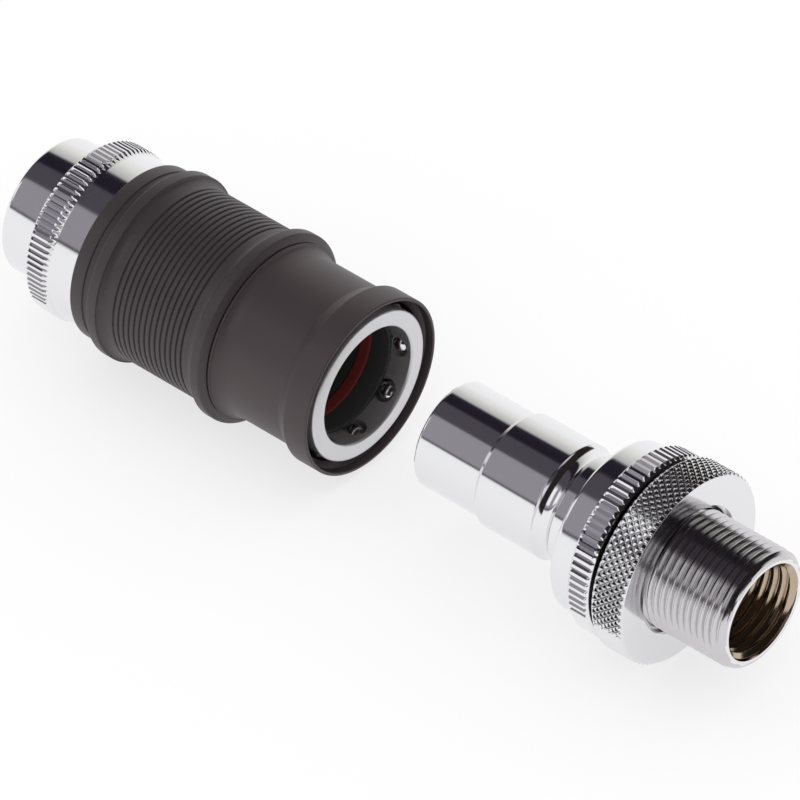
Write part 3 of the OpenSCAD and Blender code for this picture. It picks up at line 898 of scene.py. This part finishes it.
def dress_nodes(frame: dict[str, Any], finish: Finish, *nodes: str) -> None:
    """Gives solids that stay in view their finish.

    Args:
        frame: The loaded frame.
        finish: Their finish.
        *nodes: Their names.
    """
    for node in nodes:
        solid = frame["nodes"][node]
        solid.data.materials.clear()
        solid.data.materials.append(finish.material())
        LOG.info("%s: solid dressed in %s", node, finish.name)


def make_spring(
    name: str, start: float, end: float, mean_radius: float, wire: float, turns: int
) -> bpy.types.Object:
    """Compression spring with one closed turn at each end.

    Formula: the wire's middle goes round at the mean radius. It rises by a little more than its own thickness
    over the first and the last turn, and evenly in between. Its section is a circle in the plane of x and the
    radius.

    Args:
        name: The piece's name.
        start: x of its lower end, in mm.
        end: x of its upper end.
        mean_radius: Distance of the wire's middle from the axis.
        wire: Thickness of the wire.
        turns: Turns in all.

    Returns:
        The piece.
    """
    step = np.arange(turns * TURN_STEPS + 1)
    done = step / TURN_STEPS
    dead = wire * 1.04
    free = (end - start) - wire - 2.0 * dead
    rise = np.minimum(done, 1.0) * dead
    rise = rise + np.clip((done - 1.0) / (turns - 2.0), 0.0, 1.0) * free
    rise = rise + np.clip(done - turns + 1.0, 0.0, 1.0) * dead
    swing = np.arange(WIRE_SIDES) * TURN / WIRE_SIDES
    radius = mean_radius + wire / 2.0 * np.cos(swing)[None, :]
    x = start + wire / 2.0 + rise[:, None] + wire / 2.0 * np.sin(swing)[None, :]
    angle = (done * TURN)[:, None]
    points = np.stack([x, radius * np.cos(angle), radius * np.sin(angle)], axis=2).reshape(-1, 3)
    faces = quads(len(step), WIRE_SIDES, False, True)[:, [0, 3, 2, 1]]
    ends = [list(range(WIRE_SIDES)), list(range(len(points) - 1, len(points) - 1 - WIRE_SIDES, -1))]
    mesh = bpy.data.meshes.new(name)
    mesh.from_pydata((points * MM).tolist(), [], faces.tolist() + ends)
    mesh.update()
    return finish_piece(name, mesh, [SPRING_STEEL], 50.0)


def make_ball(name: str, middle: Sequence[float], radius: float) -> bpy.types.Object:
    """Makes a ball.

    Formula: latitude and longitude on a grid, with one point at each pole.

    Args:
        name: The piece's name.
        middle: Its middle in mm.
        radius: Its radius in mm.

    Returns:
        The piece.
    """
    rows, columns = 24, 48
    latitude = np.linspace(-math.pi / 2.0, math.pi / 2.0, rows + 1)[1:-1, None]
    longitude = np.arange(columns)[None, :] * TURN / columns
    flat = np.cos(latitude)
    height = np.sin(latitude) * np.ones_like(longitude)
    ring = np.stack([flat * np.cos(longitude), flat * np.sin(longitude), height], axis=2).reshape(-1, 3)
    points = np.concatenate([ring, [[0.0, 0.0, -1.0], [0.0, 0.0, 1.0]]]) * radius + np.array(middle)
    sides = quads(rows - 1, columns, False, True)
    edge = np.arange(columns)
    ahead = (edge + 1) % columns
    south, north = len(ring), len(ring) + 1
    top = (rows - 2) * columns
    below = np.stack([np.full(columns, south), ahead, edge], axis=1)
    above = np.stack([np.full(columns, north), top + edge, top + ahead], axis=1)
    mesh = bpy.data.meshes.new(name)
    mesh.from_pydata((points * MM).tolist(), [], sides.tolist() + below.tolist() + above.tolist())
    mesh.update()
    return finish_piece(name, mesh, [BALL_STEEL], 60.0)


# ---------------------------------------------------------------- plug half


@dataclass
class PlugHalf:
    """Plug: nose, guide barrel, collar, knurled flange, threaded tail, ring nut and valve. Sizes in mm."""

    nose_radius: float = 7.25
    nose_bore: float = 6.15
    tip_x: float = -32.3
    chamber_front: float = -28.3
    chamber_radius: float = 6.65
    guide_radius: float = 7.85
    guide_front: float = -22.3
    guide_slope: float = 0.6
    groove_x: float = -11.5
    groove_half_width: float = 1.45
    groove_depth: float = 0.8
    collar_front: float = -6.9
    collar_radius: float = 11.6
    collar_edge: float = 0.8
    spigot_radius: float = 7.45
    spigot_end: float = -2.2
    body_bore: float = 7.49
    body_bore_end: float = -0.96
    flange_front: float = -3.3
    flange_radius: float = 12.55
    flange_teeth: int = 76
    tail_start: float = -0.5
    tail_radius: float = 8.0
    tail_root: float = 7.39
    tail_pitch: float = 1.0
    tail_end: float = 17.3
    tail_rim_radius: float = 7.0
    tail_edge: float = 1.5
    nut_front: float = 0.9
    nut_back: float = 5.7
    nut_radius: float = 13.05
    nut_edge: float = 0.4
    nut_bore: float = 8.04
    sink_radius: float = 8.7
    pocket_radius: float = 11.22
    pocket_depth: float = 0.52
    gasket_front: float = 0.3
    gasket_back: float = 1.4
    gasket_bore: float = 8.3
    gasket_radius: float = 11.2
    spring_start: float = -27.1
    spring_radius: float = 5.29
    nut_diamonds: int = 76
    nut_half_rows: int = 7
    diamond_depth: float = 0.34

    def build(self, frame: dict[str, Any]) -> None:
        """Builds every piece of the plug.

        Args:
            frame: The loaded frame.
        """
        settle(self.flange(), "plug", "polished_chrome", "plug_body")
        settle(self.tail(), "plug", "polished_chrome", "plug_body")
        settle(self.nose(), "plug", "polished_chrome", "plug_nose")
        settle(self.nut(), "nut", "knurled_chrome", "ring_nut")
        gasket = [
            (self.gasket_front, self.gasket_bore, 0.15),
            (self.gasket_front, self.gasket_radius, 0.2),
            (self.gasket_back, self.gasket_radius, 0.1),
            (self.gasket_back, self.gasket_bore, 0.1),
        ]
        settle(turned("nut_gasket", BLACK_SEAL, gasket, columns=128), "gasket", "black_seal", "nut_gasket")
        spring = make_spring("plug_spring", self.spring_start, self.spigot_end, self.spring_radius, 0.8, 8)
        settle(spring, "plug", "spring_steel", "plug_spring")
        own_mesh(spring)
        dress_nodes(frame, BRIGHT_BRASS, "plug_poppet", "spring_seat")
        dress_nodes(frame, BLACK_SEAL, "poppet_seal", "plug_body_seal")

    def flange(self) -> bpy.types.Object:
        """Collar and knurled flange in one.

        Returns:
            The piece.
        """
        parts = [
            (self.collar_front, self.body_bore),
            (self.collar_front, self.collar_radius, self.collar_edge),
            (self.flange_front, self.collar_radius, 0.12),
            (self.flange_front, self.flange_radius - KNURL_EDGE),
            (self.flange_front + KNURL_EDGE, self.flange_radius),
            (-KNURL_EDGE, self.flange_radius),
            (0.0, self.flange_radius - KNURL_EDGE),
            (0.0, Port.passage),
            (self.body_bore_end, Port.passage),
            (self.body_bore_end, self.body_bore),
        ]
        return StraightKnurl(self.flange_teeth, self.flange_radius).ring("plug_flange", parts, 8)

    def tail(self) -> bpy.types.Object:
        """Threaded tail with the port's thread inside it.

        Formula: the lines of both threads follow their helices. The tail's rounded end cuts the outer ones,
        and the lead-in cone the inner ones.

        Returns:
            The piece.
        """
        angle = np.linspace(0.0, TURN, THREAD_COLUMNS + 1)[None, :]
        thread = ScrewThread(self.tail_pitch, self.tail_radius, self.tail_root)
        port = Port(self.tail_end, -1.0)

        def outside(x: Array) -> Array:
            """Radius of the tail's plain outline: a quarter ellipse at its end."""
            share = np.clip((x - (self.tail_end - self.tail_edge)) / self.tail_edge, 0.0, 1.0)
            drop = self.tail_radius - self.tail_rim_radius
            return self.tail_rim_radius + drop * np.sqrt(1.0 - share**2)

        def pick(middle: Array) -> Array:
            """Thread plating with painted shade outside, plated rim, brass tint with painted shade inside."""
            rim = middle[:, 0] > self.tail_end - SKIN
            return np.where(port.holds(middle), 1, np.where(rim, 2, 0))

        outer_x, outer_radius = thread.rows(self.tail_start, self.tail_end, angle, outside)
        inner_x, inner_radius = port.rows(angle)
        plain = np.array([[port.end, port.passage], [self.tail_start, port.passage]])
        full = np.ones_like(angle)
        x = np.concatenate([outer_x, inner_x, plain[:, :1] * full])
        radius = np.concatenate([outer_radius, inner_radius, plain[:, 1:] * full])
        finishes = [THREAD_PLATING_PAINTED_SHADE, BORE_BRASS_PAINTED_SHADE, CHROME]
        return make_piece("plug_tail", around(x, radius, angle), finishes, 42.0, pick)

    def nose(self) -> bpy.types.Object:
        """Nose with its rounded tip, the guide barrel behind it and the lock groove.

        Formula: the groove is an arc through both of its edges and its floor.

        Returns:
            The piece.
        """
        half_width, depth = self.groove_half_width, self.groove_depth
        arc_radius = (half_width**2 + depth**2) / (2.0 * depth)
        swing = math.asin(half_width / arc_radius)
        turn = np.linspace(-swing, swing, 25)
        groove_x = self.groove_x + arc_radius * np.sin(turn)
        groove_radius = self.guide_radius - depth + arc_radius - arc_radius * np.cos(turn)
        groove = np.stack([groove_x, groove_radius, 0.0 * turn], axis=1)
        groove[[0, -1], 2] = 0.18
        back = self.collar_front - SKIN
        parts = [
            (self.tip_x, self.nose_bore, 0.2),
            (self.tip_x, self.nose_radius, 1.1),
            (self.guide_front, self.nose_radius, 0.2),
            (self.guide_front + self.guide_slope, self.guide_radius, 0.25),
            groove,
            (back, self.guide_radius),
            (back, self.spigot_radius),
            (self.spigot_end, self.spigot_radius),
            (self.spigot_end, self.chamber_radius),
            (self.chamber_front, self.chamber_radius),
            (self.chamber_front, self.nose_bore),
        ]
        return turned("plug_nose", CHROME, parts, 10)

    def nut(self) -> bpy.types.Object:
        """Ring nut with its diamond knurl.

        Formula: u counts diamonds round the nut and v along it. The relief is the smaller of the distances to
        the nearest whole value of u + v and of u - v, with its top cut flat. Edges, countersink, bore and
        gasket seat come from the nut's section.

        Returns:
            The piece.
        """
        per_diamond = 8
        flat_share = 0.86
        just = 1e-3
        low, high = self.nut_front + self.nut_edge, self.nut_back - self.nut_edge
        shoulder = self.nut_radius - self.nut_edge
        pocket = self.nut_front + self.pocket_depth
        columns = self.nut_diamonds * per_diamond
        angle = np.linspace(0.0, TURN, columns + 1)[None, :]
        band = np.linspace(low, high, self.nut_half_rows * per_diamond // 2 + 1)
        parts = [
            (high + just, self.nut_radius - just),
            (self.nut_back, shoulder, 0.12),
            (self.nut_back, self.sink_radius, 0.06),
            (self.nut_back - (self.sink_radius - self.nut_bore), self.nut_bore),
            (pocket, self.nut_bore),
            (pocket, self.pocket_radius),
            (self.nut_front, self.pocket_radius, 0.05),
            (self.nut_front, shoulder, 0.12),
            (low - just, self.nut_radius - just),
        ]
        face = np.stack([band, np.full_like(band, self.nut_radius)], axis=1)
        line = np.concatenate([face, rounded(outline(*parts))])
        x, plain = line[:, :1], line[:, 1:]
        u = np.arange(columns + 1)[None, :] / per_diamond
        v = (x - low) / (high - low) * self.nut_half_rows / 2.0
        rising = np.abs((u + v + 0.5) % 1.0 - 0.5) * 2.0
        falling = np.abs((u - v + 0.5) % 1.0 - 0.5) * 2.0
        relief = np.minimum(np.minimum(rising, falling) / flat_share, 1.0)
        radius = np.minimum(plain, self.nut_radius - self.diamond_depth * (1.0 - relief))
        cell_row, cell_column = np.meshgrid(np.arange(len(x)), np.arange(columns), indexing="ij")
        split = (cell_row + cell_column) % per_diamond == per_diamond - 1
        return make_piece("ring_nut", around(x, radius, angle), [KNURL_CHROME], 20.0, split=split)


# ---------------------------------------------------------------- socket half


@dataclass
class SocketHalf:
    """Socket: rear body, ball cage with its balls, release sleeve, grip, and valve. Sizes in mm."""

    mouth_x: float = -45.7
    mouth_radius: float = 10.45
    mouth_bore: float = 8.15
    mouth_bore_end: float = -51.0
    rim_back: float = -50.0
    ball_x: float = -48.1
    ball_radius: float = 1.5
    ball_hole: float = 1.54
    ball_hole_length: float = 4.4
    ball_ring: float = 9.43
    balls: int = 8
    neck_front: float = -60.3
    neck_slope_back: float = -60.7
    cage_end: float = -86.55
    cage_bore: float = 8.8
    cage_radius: float = 9.6
    neck_radius: float = 10.0
    cap_back: float = -99.3
    cap_radius: float = 9.4
    cap_relief: float = 9.1
    ring_back: float = -92.75
    ring_radius: float = 12.0
    ring_teeth: int = 88
    ring_front: float = -89.75
    barrel_back: float = -88.75
    barrel_front: float = -79.55
    barrel_radius: float = 11.6
    barrel_bore: float = 10.04
    barrel_bore_end: float = -88.09
    spring_bed: float = -79.53
    spring_end: float = -61.8
    spring_radius: float = 10.55
    valve_spring_end: float = -61.45
    valve_spring_radius: float = 6.9
    valve_rim: float = -48.95
    valve_bore: float = 7.6
    valve_guide: float = 8.07
    valve_radius: float = 8.72
    valve_collar: float = -51.1
    valve_face: float = -59.15
    valve_flange_back: float = -61.15
    valve_back: float = -66.15
    valve_seat: float = 5.93
    seal_radius: float = 8.23
    seal_front: float = -51.87
    seal_back: float = -53.57
    lip_x: float = -45.4
    lip_bore: float = 11.8
    land_bore: float = 11.05
    lip_step_front: float = -46.6
    lip_step_back: float = -47.35
    head_back: float = -49.0
    head_radius: float = 12.25
    waist_front: float = -50.7
    waist_back: float = -59.0
    waist_radius: float = 11.25
    flare_front: float = -61.3
    flare_radius: float = 12.15
    stop_bore: float = 10.08
    sleeve_stop: float = -50.3
    seam_x: float = -61.7
    shoulder_x: float = -61.5
    tube_radius: float = 11.45
    tube_bore: float = 11.0
    tube_back: float = -76.85
    grip_radius: float = 12.15
    grip_bore: float = 11.49
    grip_rear_bore: float = 11.68
    grip_front: float = -61.85
    grip_back: float = -84.85
    front_bead: float = 13.15
    front_bead_front: float = -62.35
    front_bead_back: float = -63.85
    rear_bead: float = 13.0
    rear_bead_front: float = -79.75
    rear_bead_back: float = -81.45
    rib_front: float = -65.25
    rib_back: float = -78.35
    rib_count: int = 14
    rib_depth: float = 0.24
    rib_groove_share: float = 0.2
    rear_groove: float = 11.97
    rear_groove_front: float = -81.55
    rear_groove_back: float = -82.75
    rear_ring_front: float = -82.85

    def build(self, frame: dict[str, Any]) -> None:
        """Builds every piece of the socket.

        Args:
            frame: The loaded frame.
        """
        settle(self.rear_cap(), "socket", "polished_chrome", "port_adapter")
        settle(self.rear_ring(), "socket", "polished_chrome", "port_adapter")
        settle(self.cage(), "socket", "satin_nickel", "ball_cage")
        settle(self.valve_sleeve(), "socket_valve", "dark_plastic", "valve_sleeve")
        settle(self.nose_seal(), "socket_valve", "red_seal", "nose_seal")
        settle(self.release_sleeve(), "sleeve", "matte_black_sleeve", "release_sleeve")
        settle(self.grip(), "sleeve", "matte_black_grip", "sleeve_grip")
        for number in range(self.balls):
            name = f"ball_{number + 1}"
            ball = make_ball(f"lock_{name}", self.ball_middle(number), self.ball_radius)
            settle(ball, name, "ball_steel", name)
        valve_spring = make_spring(
            "valve_spring", self.cage_end, self.valve_spring_end, self.valve_spring_radius, 0.9, 8
        )
        settle(valve_spring, "socket", "spring_steel", "valve_spring")
        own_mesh(valve_spring)
        sleeve_spring = make_spring(
            "sleeve_spring", self.spring_bed, self.spring_end, self.spring_radius, 0.8, 6
        )
        settle(sleeve_spring, "socket", "spring_steel", "sleeve_spring")
        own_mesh(sleeve_spring)
        dress_nodes(frame, BRIGHT_BRASS, "valve_stem")
        dress_nodes(frame, BLACK_SEAL, "stem_seal", "body_seal")

    def ball_middle(self, number: int) -> tuple[float, float, float]:
        """Middle of a lock ball in mm, by its number from 0 at the top."""
        angle = number * TURN / self.balls
        return (self.ball_x, -self.ball_ring * math.sin(angle), self.ball_ring * math.cos(angle))

    def rear_cap(self) -> bpy.types.Object:
        """Rear cap with its port's thread.

        Returns:
            The piece.
        """
        angle = np.linspace(0.0, TURN, THREAD_COLUMNS + 1)[None, :]
        port = Port(self.cap_back, 1.0)
        inner_x, inner_radius = port.rows(angle)
        core = 8.6
        relief_back = self.ring_back - 0.5
        parts = [
            (port.end, port.passage),
            (self.barrel_bore_end, port.passage),
            (self.barrel_bore_end, core),
            (self.ring_back, core),
            (self.ring_back, self.cap_relief),
            (relief_back, self.cap_relief),
            (relief_back, self.cap_radius, 0.08),
            (self.cap_back, self.cap_radius, 0.7),
            (self.cap_back, port.lead_radius),
        ]
        plain = rounded(outline(*parts), 10)
        full = np.ones_like(angle)
        x = np.concatenate([inner_x, plain[:, :1] * full])
        radius = np.concatenate([inner_radius, plain[:, 1:] * full])

        def pick(middle: Array) -> Array:
            """Brass tint with painted shade in the port, plating elsewhere."""
            return port.holds(middle).astype(int)

        return make_piece("rear_cap", around(x, radius, angle), [CHROME, BORE_BRASS_PAINTED_SHADE], 42.0, pick)

    def rear_ring(self) -> bpy.types.Object:
        """Knurled ring and the barrel in front of it, in one.

        Returns:
            The piece.
        """
        core = 8.5
        parts = [
            (self.ring_back, core),
            (self.ring_back, self.ring_radius - KNURL_EDGE),
            (self.ring_back + KNURL_EDGE, self.ring_radius),
            (self.ring_front, self.ring_radius),
            (self.barrel_back, self.barrel_radius, 0.1),
            (self.barrel_front, self.barrel_radius, 0.3),
            (self.barrel_front, self.barrel_bore),
            (self.barrel_bore_end, self.barrel_bore),
            (self.barrel_bore_end, core),
        ]
        return StraightKnurl(self.ring_teeth, self.ring_radius).ring("rear_ring", parts)

    def cage(self) -> bpy.types.Object:
        """Mouth ring and ball cage, with a hole for each ball.

        Returns:
            The piece.
        """
        parts = [
            (self.cage_end, self.cage_bore),
            (self.cage_end, self.neck_radius, 0.3),
            (self.barrel_front - 0.5, self.neck_radius),
            (self.barrel_front, self.cage_radius),
            (self.neck_slope_back, self.cage_radius),
            (self.neck_front, self.neck_radius),
            (self.rim_back, self.neck_radius),
            (self.rim_back, self.mouth_radius, 0.15),
            (self.mouth_x, self.mouth_radius, 0.35),
            (self.mouth_x, self.mouth_bore, 0.35),
            (self.mouth_bore_end, self.mouth_bore),
            (self.mouth_bore_end, self.cage_bore),
        ]
        piece = turned("ball_cage", SATIN, parts, 8)
        holes = bmesh.new()
        for number in range(self.balls):
            middle = Vector(self.ball_middle(number)) * MM
            turn = Matrix.Rotation(number * TURN / self.balls, 4, "X")
            radius = self.ball_hole * MM
            place = Matrix.Translation(middle) @ turn
            size = {"radius1": radius, "radius2": radius, "depth": self.ball_hole_length * MM}
            bmesh.ops.create_cone(holes, cap_ends=True, segments=48, matrix=place, **size)
        cutter_mesh = bpy.data.meshes.new("ball_holes")
        holes.to_mesh(cutter_mesh)
        holes.free()
        cutter = bpy.data.objects.new("ball_holes", cutter_mesh)
        bpy.context.scene.collection.objects.link(cutter)
        cut = piece.modifiers.new("ball_holes", "BOOLEAN")
        cut.operation = "DIFFERENCE"
        cut.solver = "EXACT"
        cut.object = cutter
        bpy.context.view_layer.update()
        ready = piece.evaluated_get(bpy.context.evaluated_depsgraph_get())
        whole = bpy.data.meshes.new_from_object(ready)
        piece.modifiers.clear()
        piece.data = whole
        bpy.data.objects.remove(cutter)
        whole.shade_smooth()
        whole.set_sharp_from_angle(angle=math.radians(SHARP))
        return piece

    def valve_sleeve(self) -> bpy.types.Object:
        """Sliding sleeve of the socket's valve.

        Returns:
            The piece.
        """
        groove_front, groove_back = self.seal_front + SKIN, self.seal_back - SKIN
        parts = [
            (self.valve_rim, self.valve_bore, 0.15),
            (self.valve_rim, self.valve_guide, 0.15),
            (self.valve_collar, self.valve_guide),
            (self.valve_collar, self.valve_radius, 0.1),
            (self.valve_back, self.valve_radius, 0.1),
            (self.valve_back, self.valve_bore, 0.1),
            (self.valve_flange_back, self.valve_bore),
            (self.valve_flange_back, self.valve_seat),
            (self.valve_face, self.valve_seat, 0.1),
            (self.valve_face, self.valve_bore),
            (groove_back, self.valve_bore, 0.05),
            (groove_back, self.seal_radius + SKIN),
            (groove_front, self.seal_radius + SKIN),
            (groove_front, self.valve_bore, 0.05),
        ]
        return turned("valve_sleeve", DARK_PLASTIC, parts, columns=192)

    def nose_seal(self) -> bpy.types.Object:
        """Seal that grips the plug's nose.

        Returns:
            The piece.
        """
        proud = 0.18
        parts = [
            (self.seal_front, self.valve_bore),
            (self.seal_front, self.seal_radius),
            (self.seal_back, self.seal_radius),
            (self.seal_back, self.valve_bore),
            (self.seal_back + proud, self.valve_bore - proud, 0.2),
            (self.seal_front - proud, self.valve_bore - proud, 0.2),
        ]
        return turned("nose_seal", RED_SEAL_PAINTED_SHADE, parts, columns=128)

    def release_sleeve(self) -> bpy.types.Object:
        """Release sleeve: front collar, shoulder, waist and flare, with the tube that the grip sits on.

        Returns:
            The piece.
        """
        parts = [
            (self.lip_x, self.lip_bore, 0.12),
            (self.lip_x, self.head_radius, 0.2),
            (self.head_back, self.head_radius, 0.3),
            (self.waist_front, self.waist_radius, 0.5),
            bow((self.waist_back, self.waist_radius), (self.flare_front, self.flare_radius), True),
            (self.seam_x, self.flare_radius, 0.12),
            (self.seam_x, self.tube_radius),
            (self.tube_back, self.tube_radius, 0.1),
            (self.tube_back, self.tube_bore, 0.1),
            (self.shoulder_x, self.tube_bore),
            (self.shoulder_x, self.stop_bore),
            (self.sleeve_stop, self.stop_bore),
            (self.sleeve_stop, self.land_bore),
            (self.lip_step_back, self.land_bore, 0.2),
            (self.lip_step_front, self.lip_bore, 0.2),
        ]
        return turned("release_sleeve", SLEEVE_BLACK, parts, 8)

    def grip(self) -> bpy.types.Object:
        """Ribbed grip with its two beads and its rear ring.

        Returns:
            The piece.
        """
        plain, count = self.grip_radius, self.rib_count
        pitch = (self.rib_front - self.rib_back) / (count + 1)
        middle = self.rib_front - pitch * np.arange(1, count + 1)
        width = pitch * self.rib_groove_share
        offset = np.array([width, width / 2.0, -width / 2.0, -width])
        level = plain - self.rib_depth * np.array([0.0, 1.0, 1.0, 0.0])
        rounding = np.array([0.12, 0.08, 0.08, 0.12])
        place = (middle[:, None] + offset[None, :]).ravel()
        ribs = np.stack([place, np.tile(level, count), np.tile(rounding, count)], axis=1)
        front_hollow = bow((self.front_bead_back, self.front_bead), (self.rib_front, plain), False)
        rear_hollow = bow((self.rib_back, plain), (self.rear_bead_front, self.rear_bead), True)
        parts = [
            (self.grip_front, self.grip_bore),
            (self.grip_front, plain, 0.15),
            (self.front_bead_front, self.front_bead, 0.35),
            (self.front_bead_back + 0.15, self.front_bead, 0.25),
            front_hollow[1:],
            ribs,
            rear_hollow[:-1],
            (self.rear_bead_front, self.rear_bead, 0.25),
            (self.rear_bead_back, self.rear_bead, 0.35),
            (self.rear_bead_back, plain, 0.1),
            (self.rear_groove_front, self.rear_groove, 0.05),
            (self.rear_groove_back, self.rear_groove, 0.05),
            (self.rear_ring_front, plain, 0.1),
            (self.grip_back, plain, 0.35),
            (self.grip_back, self.grip_rear_bore, 0.1),
            (self.tube_back - 0.1, self.grip_rear_bore),
            (self.tube_back - 0.1, self.grip_bore),
        ]
        return turned("sleeve_grip", GRIP_BLACK, parts)


# ---------------------------------------------------------------- studio


class Card(Enum):
    """What mirror-like surfaces see at each height of the room, as display colours."""

    FLOOR_WHITE = (255, 255, 255)
    LOW_GREY = (152, 148, 155)
    DARK_GREY = (78, 73, 81)
    CEILING_BLACK = (36, 31, 41)
    EDGE_LINE = (74, 72, 76)
    BACK_GREY = (190, 190, 188)
    CREAM = (236, 235, 228)


@dataclass
class Studio:
    """Pale floor, soft white room with a dark ceiling in its reflections, and the camera."""

    azimuth: float = 41.0
    elevation: float = 41.2
    distance: float = 1.097
    lens: float = 400.0
    target_x: float = -40.6
    target_up: float = 0.52
    floor_reach: float = 6.0
    shadow_share: float = 0.3
    window_x: float = -0.494
    dark_side: Colour = (0.022, 0.018, 0.018)
    room_low: Colour = (0.8, 0.8, 0.81)
    room_high: Colour = (1.06, 1.06, 1.06)

    def build(self) -> None:
        """Builds the floor, the room and the camera."""
        self.floor()
        self.room()
        self.camera()
        LOG.info("studio built")

    def floor(self) -> None:
        """Floor under the object, white in the view and in reflections, with the object's shadow on it."""
        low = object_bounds()[0][2]
        reach = self.floor_reach
        mesh = bpy.data.meshes.new("floor")
        points = [(-reach, -reach, low), (reach, -reach, low), (reach, reach, low), (-reach, reach, low)]
        mesh.from_pydata(points, [], [(0, 1, 2, 3)])
        made = bpy.data.materials.new("floor_white")
        made.use_nodes = True
        graph = Graph(made.node_tree)
        seen = self.seen_share(graph)
        matte = graph.node("ShaderNodeBsdfDiffuse", None, {"Color": WHITE})
        white = graph.node("ShaderNodeEmission", None, {"Color": WHITE, "Strength": 1.0})
        shown = seen * (1.0 - self.shadow_share)
        surface = graph.node("ShaderNodeMixShader", None, {0: shown, 1: matte, 2: white})
        graph.node("ShaderNodeOutputMaterial", None, {"Surface": surface})
        mesh.materials.append(made)
        floor = bpy.data.objects.new("floor", mesh)
        bpy.context.scene.collection.objects.link(floor)
        floor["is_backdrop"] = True

    @staticmethod
    def seen_share(graph: Graph) -> Signal:
        """1 for rays of the view, of mirrors and of glass, and 0 for the rays that light the object.

        Args:
            graph: The graph to use.

        Returns:
            The share.
        """
        camera = graph.node("ShaderNodeLightPath", output="Is Camera Ray")
        path = camera.socket.node.outputs
        glossy = Signal(graph, path["Is Glossy Ray"])
        glass = Signal(graph, path["Is Transmission Ray"])
        return camera.most(glossy).most(glass)

    def room(self) -> None:
        """Soft white room. Mirror-like surfaces see grey walls and a dark ceiling in it."""
        world = bpy.data.worlds.new("room")
        bpy.context.scene.world = world
        world.use_nodes = True
        world.cycles.sampling_method = "NONE"
        graph = Graph(world.node_tree)
        towards = graph.node("ShaderNodeTexCoord", output="Generated")
        unit = graph.node("ShaderNodeVectorMath", {"operation": "NORMALIZE"}, {0: towards})
        x, y, z = graph.axes(unit)
        height = z.angle_with(-y) / TURN + 0.5
        cards = graph.node("ShaderNodeValToRGB", {"stops": self.bands()}, {0: height})
        window = abs(x - self.window_x).step(0.14, 0.24)
        degrees = (height - 0.5) * 360.0
        lamp = window * degrees.step(20.0, 24.0) * degrees.step(62.0, 56.0)
        mirrored = graph.mix(lamp, cards, (1.0, 1.0, 1.0))
        dark_side = x.step(0.12, 0.24) * z.step(-0.04, 0.04)
        mirrored = graph.mix(dark_side, mirrored, self.dark_side)
        path = graph.node("ShaderNodeLightPath", output="Is Glossy Ray")
        mirror_light = graph.node("ShaderNodeBackground", None, {"Color": mirrored, "Strength": 1.0})
        soft = z.step(-0.6, 1.0)
        room_colour = graph.mix(soft, self.room_low, self.room_high)
        room_light = graph.node("ShaderNodeBackground", None, {"Color": room_colour, "Strength": 1.0})
        camera_light = graph.node("ShaderNodeBackground", None, {"Color": WHITE, "Strength": 1.0})
        is_camera = Signal(graph, path.socket.node.outputs["Is Camera Ray"])
        lit = graph.node("ShaderNodeMixShader", None, {0: path, 1: room_light, 2: mirror_light})
        shown = graph.node("ShaderNodeMixShader", None, {0: is_camera, 1: lit, 2: camera_light})
        graph.node("ShaderNodeOutputWorld", None, {"Surface": shown})

    @staticmethod
    def bands() -> list[tuple[float, Colour]]:
        """Stops of the room's ramp, from under the horizon at the front, up over the ceiling, to the back.

        Returns:
            Pairs of position and colour.
        """
        edges = [
            (-180.0, Card.FLOOR_WHITE),
            (10.5, Card.FLOOR_WHITE),
            (12.5, Card.EDGE_LINE),
            (14.5, Card.EDGE_LINE),
            (17.0, Card.LOW_GREY),
            (64.0, Card.LOW_GREY),
            (67.0, Card.DARK_GREY),
            (97.0, Card.DARK_GREY),
            (101.0, Card.CEILING_BLACK),
            (124.0, Card.CEILING_BLACK),
            (128.0, Card.BACK_GREY),
            (148.0, Card.CREAM),
            (168.0, Card.FLOOR_WHITE),
            (180.0, Card.FLOOR_WHITE),
        ]
        return [((angle + 180.0) / 360.0, linear(*card.value)) for angle, card in edges]

    def camera(self) -> None:
        """Camera with a long lens, level, looking down on the coupling."""
        azimuth, elevation = math.radians(self.azimuth), math.radians(self.elevation)
        level = math.cos(elevation)
        back = Vector((math.sin(azimuth) * level, -math.cos(azimuth) * level, math.sin(elevation)))
        right = Vector((math.cos(azimuth), math.sin(azimuth), 0.0))
        up = back.cross(right)
        eye = Vector((self.target_x * MM, 0.0, 0.0)) + up * self.target_up * MM + back * self.distance
        data = bpy.data.cameras.new("camera")
        data.lens = self.lens
        data.sensor_width = 36.0
        data.clip_end = 20.0
        camera = bpy.data.objects.new("camera", data)
        camera.matrix_world = Matrix.Translation(eye) @ Matrix((right, up, back)).transposed().to_4x4()
        bpy.context.scene.collection.objects.link(camera)
        bpy.context.scene.camera = camera


def main() -> None:
    """Builds the coupling on its frame."""
    logging.basicConfig(level=logging.INFO, format="%(message)s")
    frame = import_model()
    Studio().build()
    PlugHalf().build(frame)
    SocketHalf().build(frame)
    bpy.context.scene.view_settings.view_transform = "Standard"
    bpy.context.view_layer.update()
    LOG.info("boxes kept")


if __name__ == "__main__":
    main()
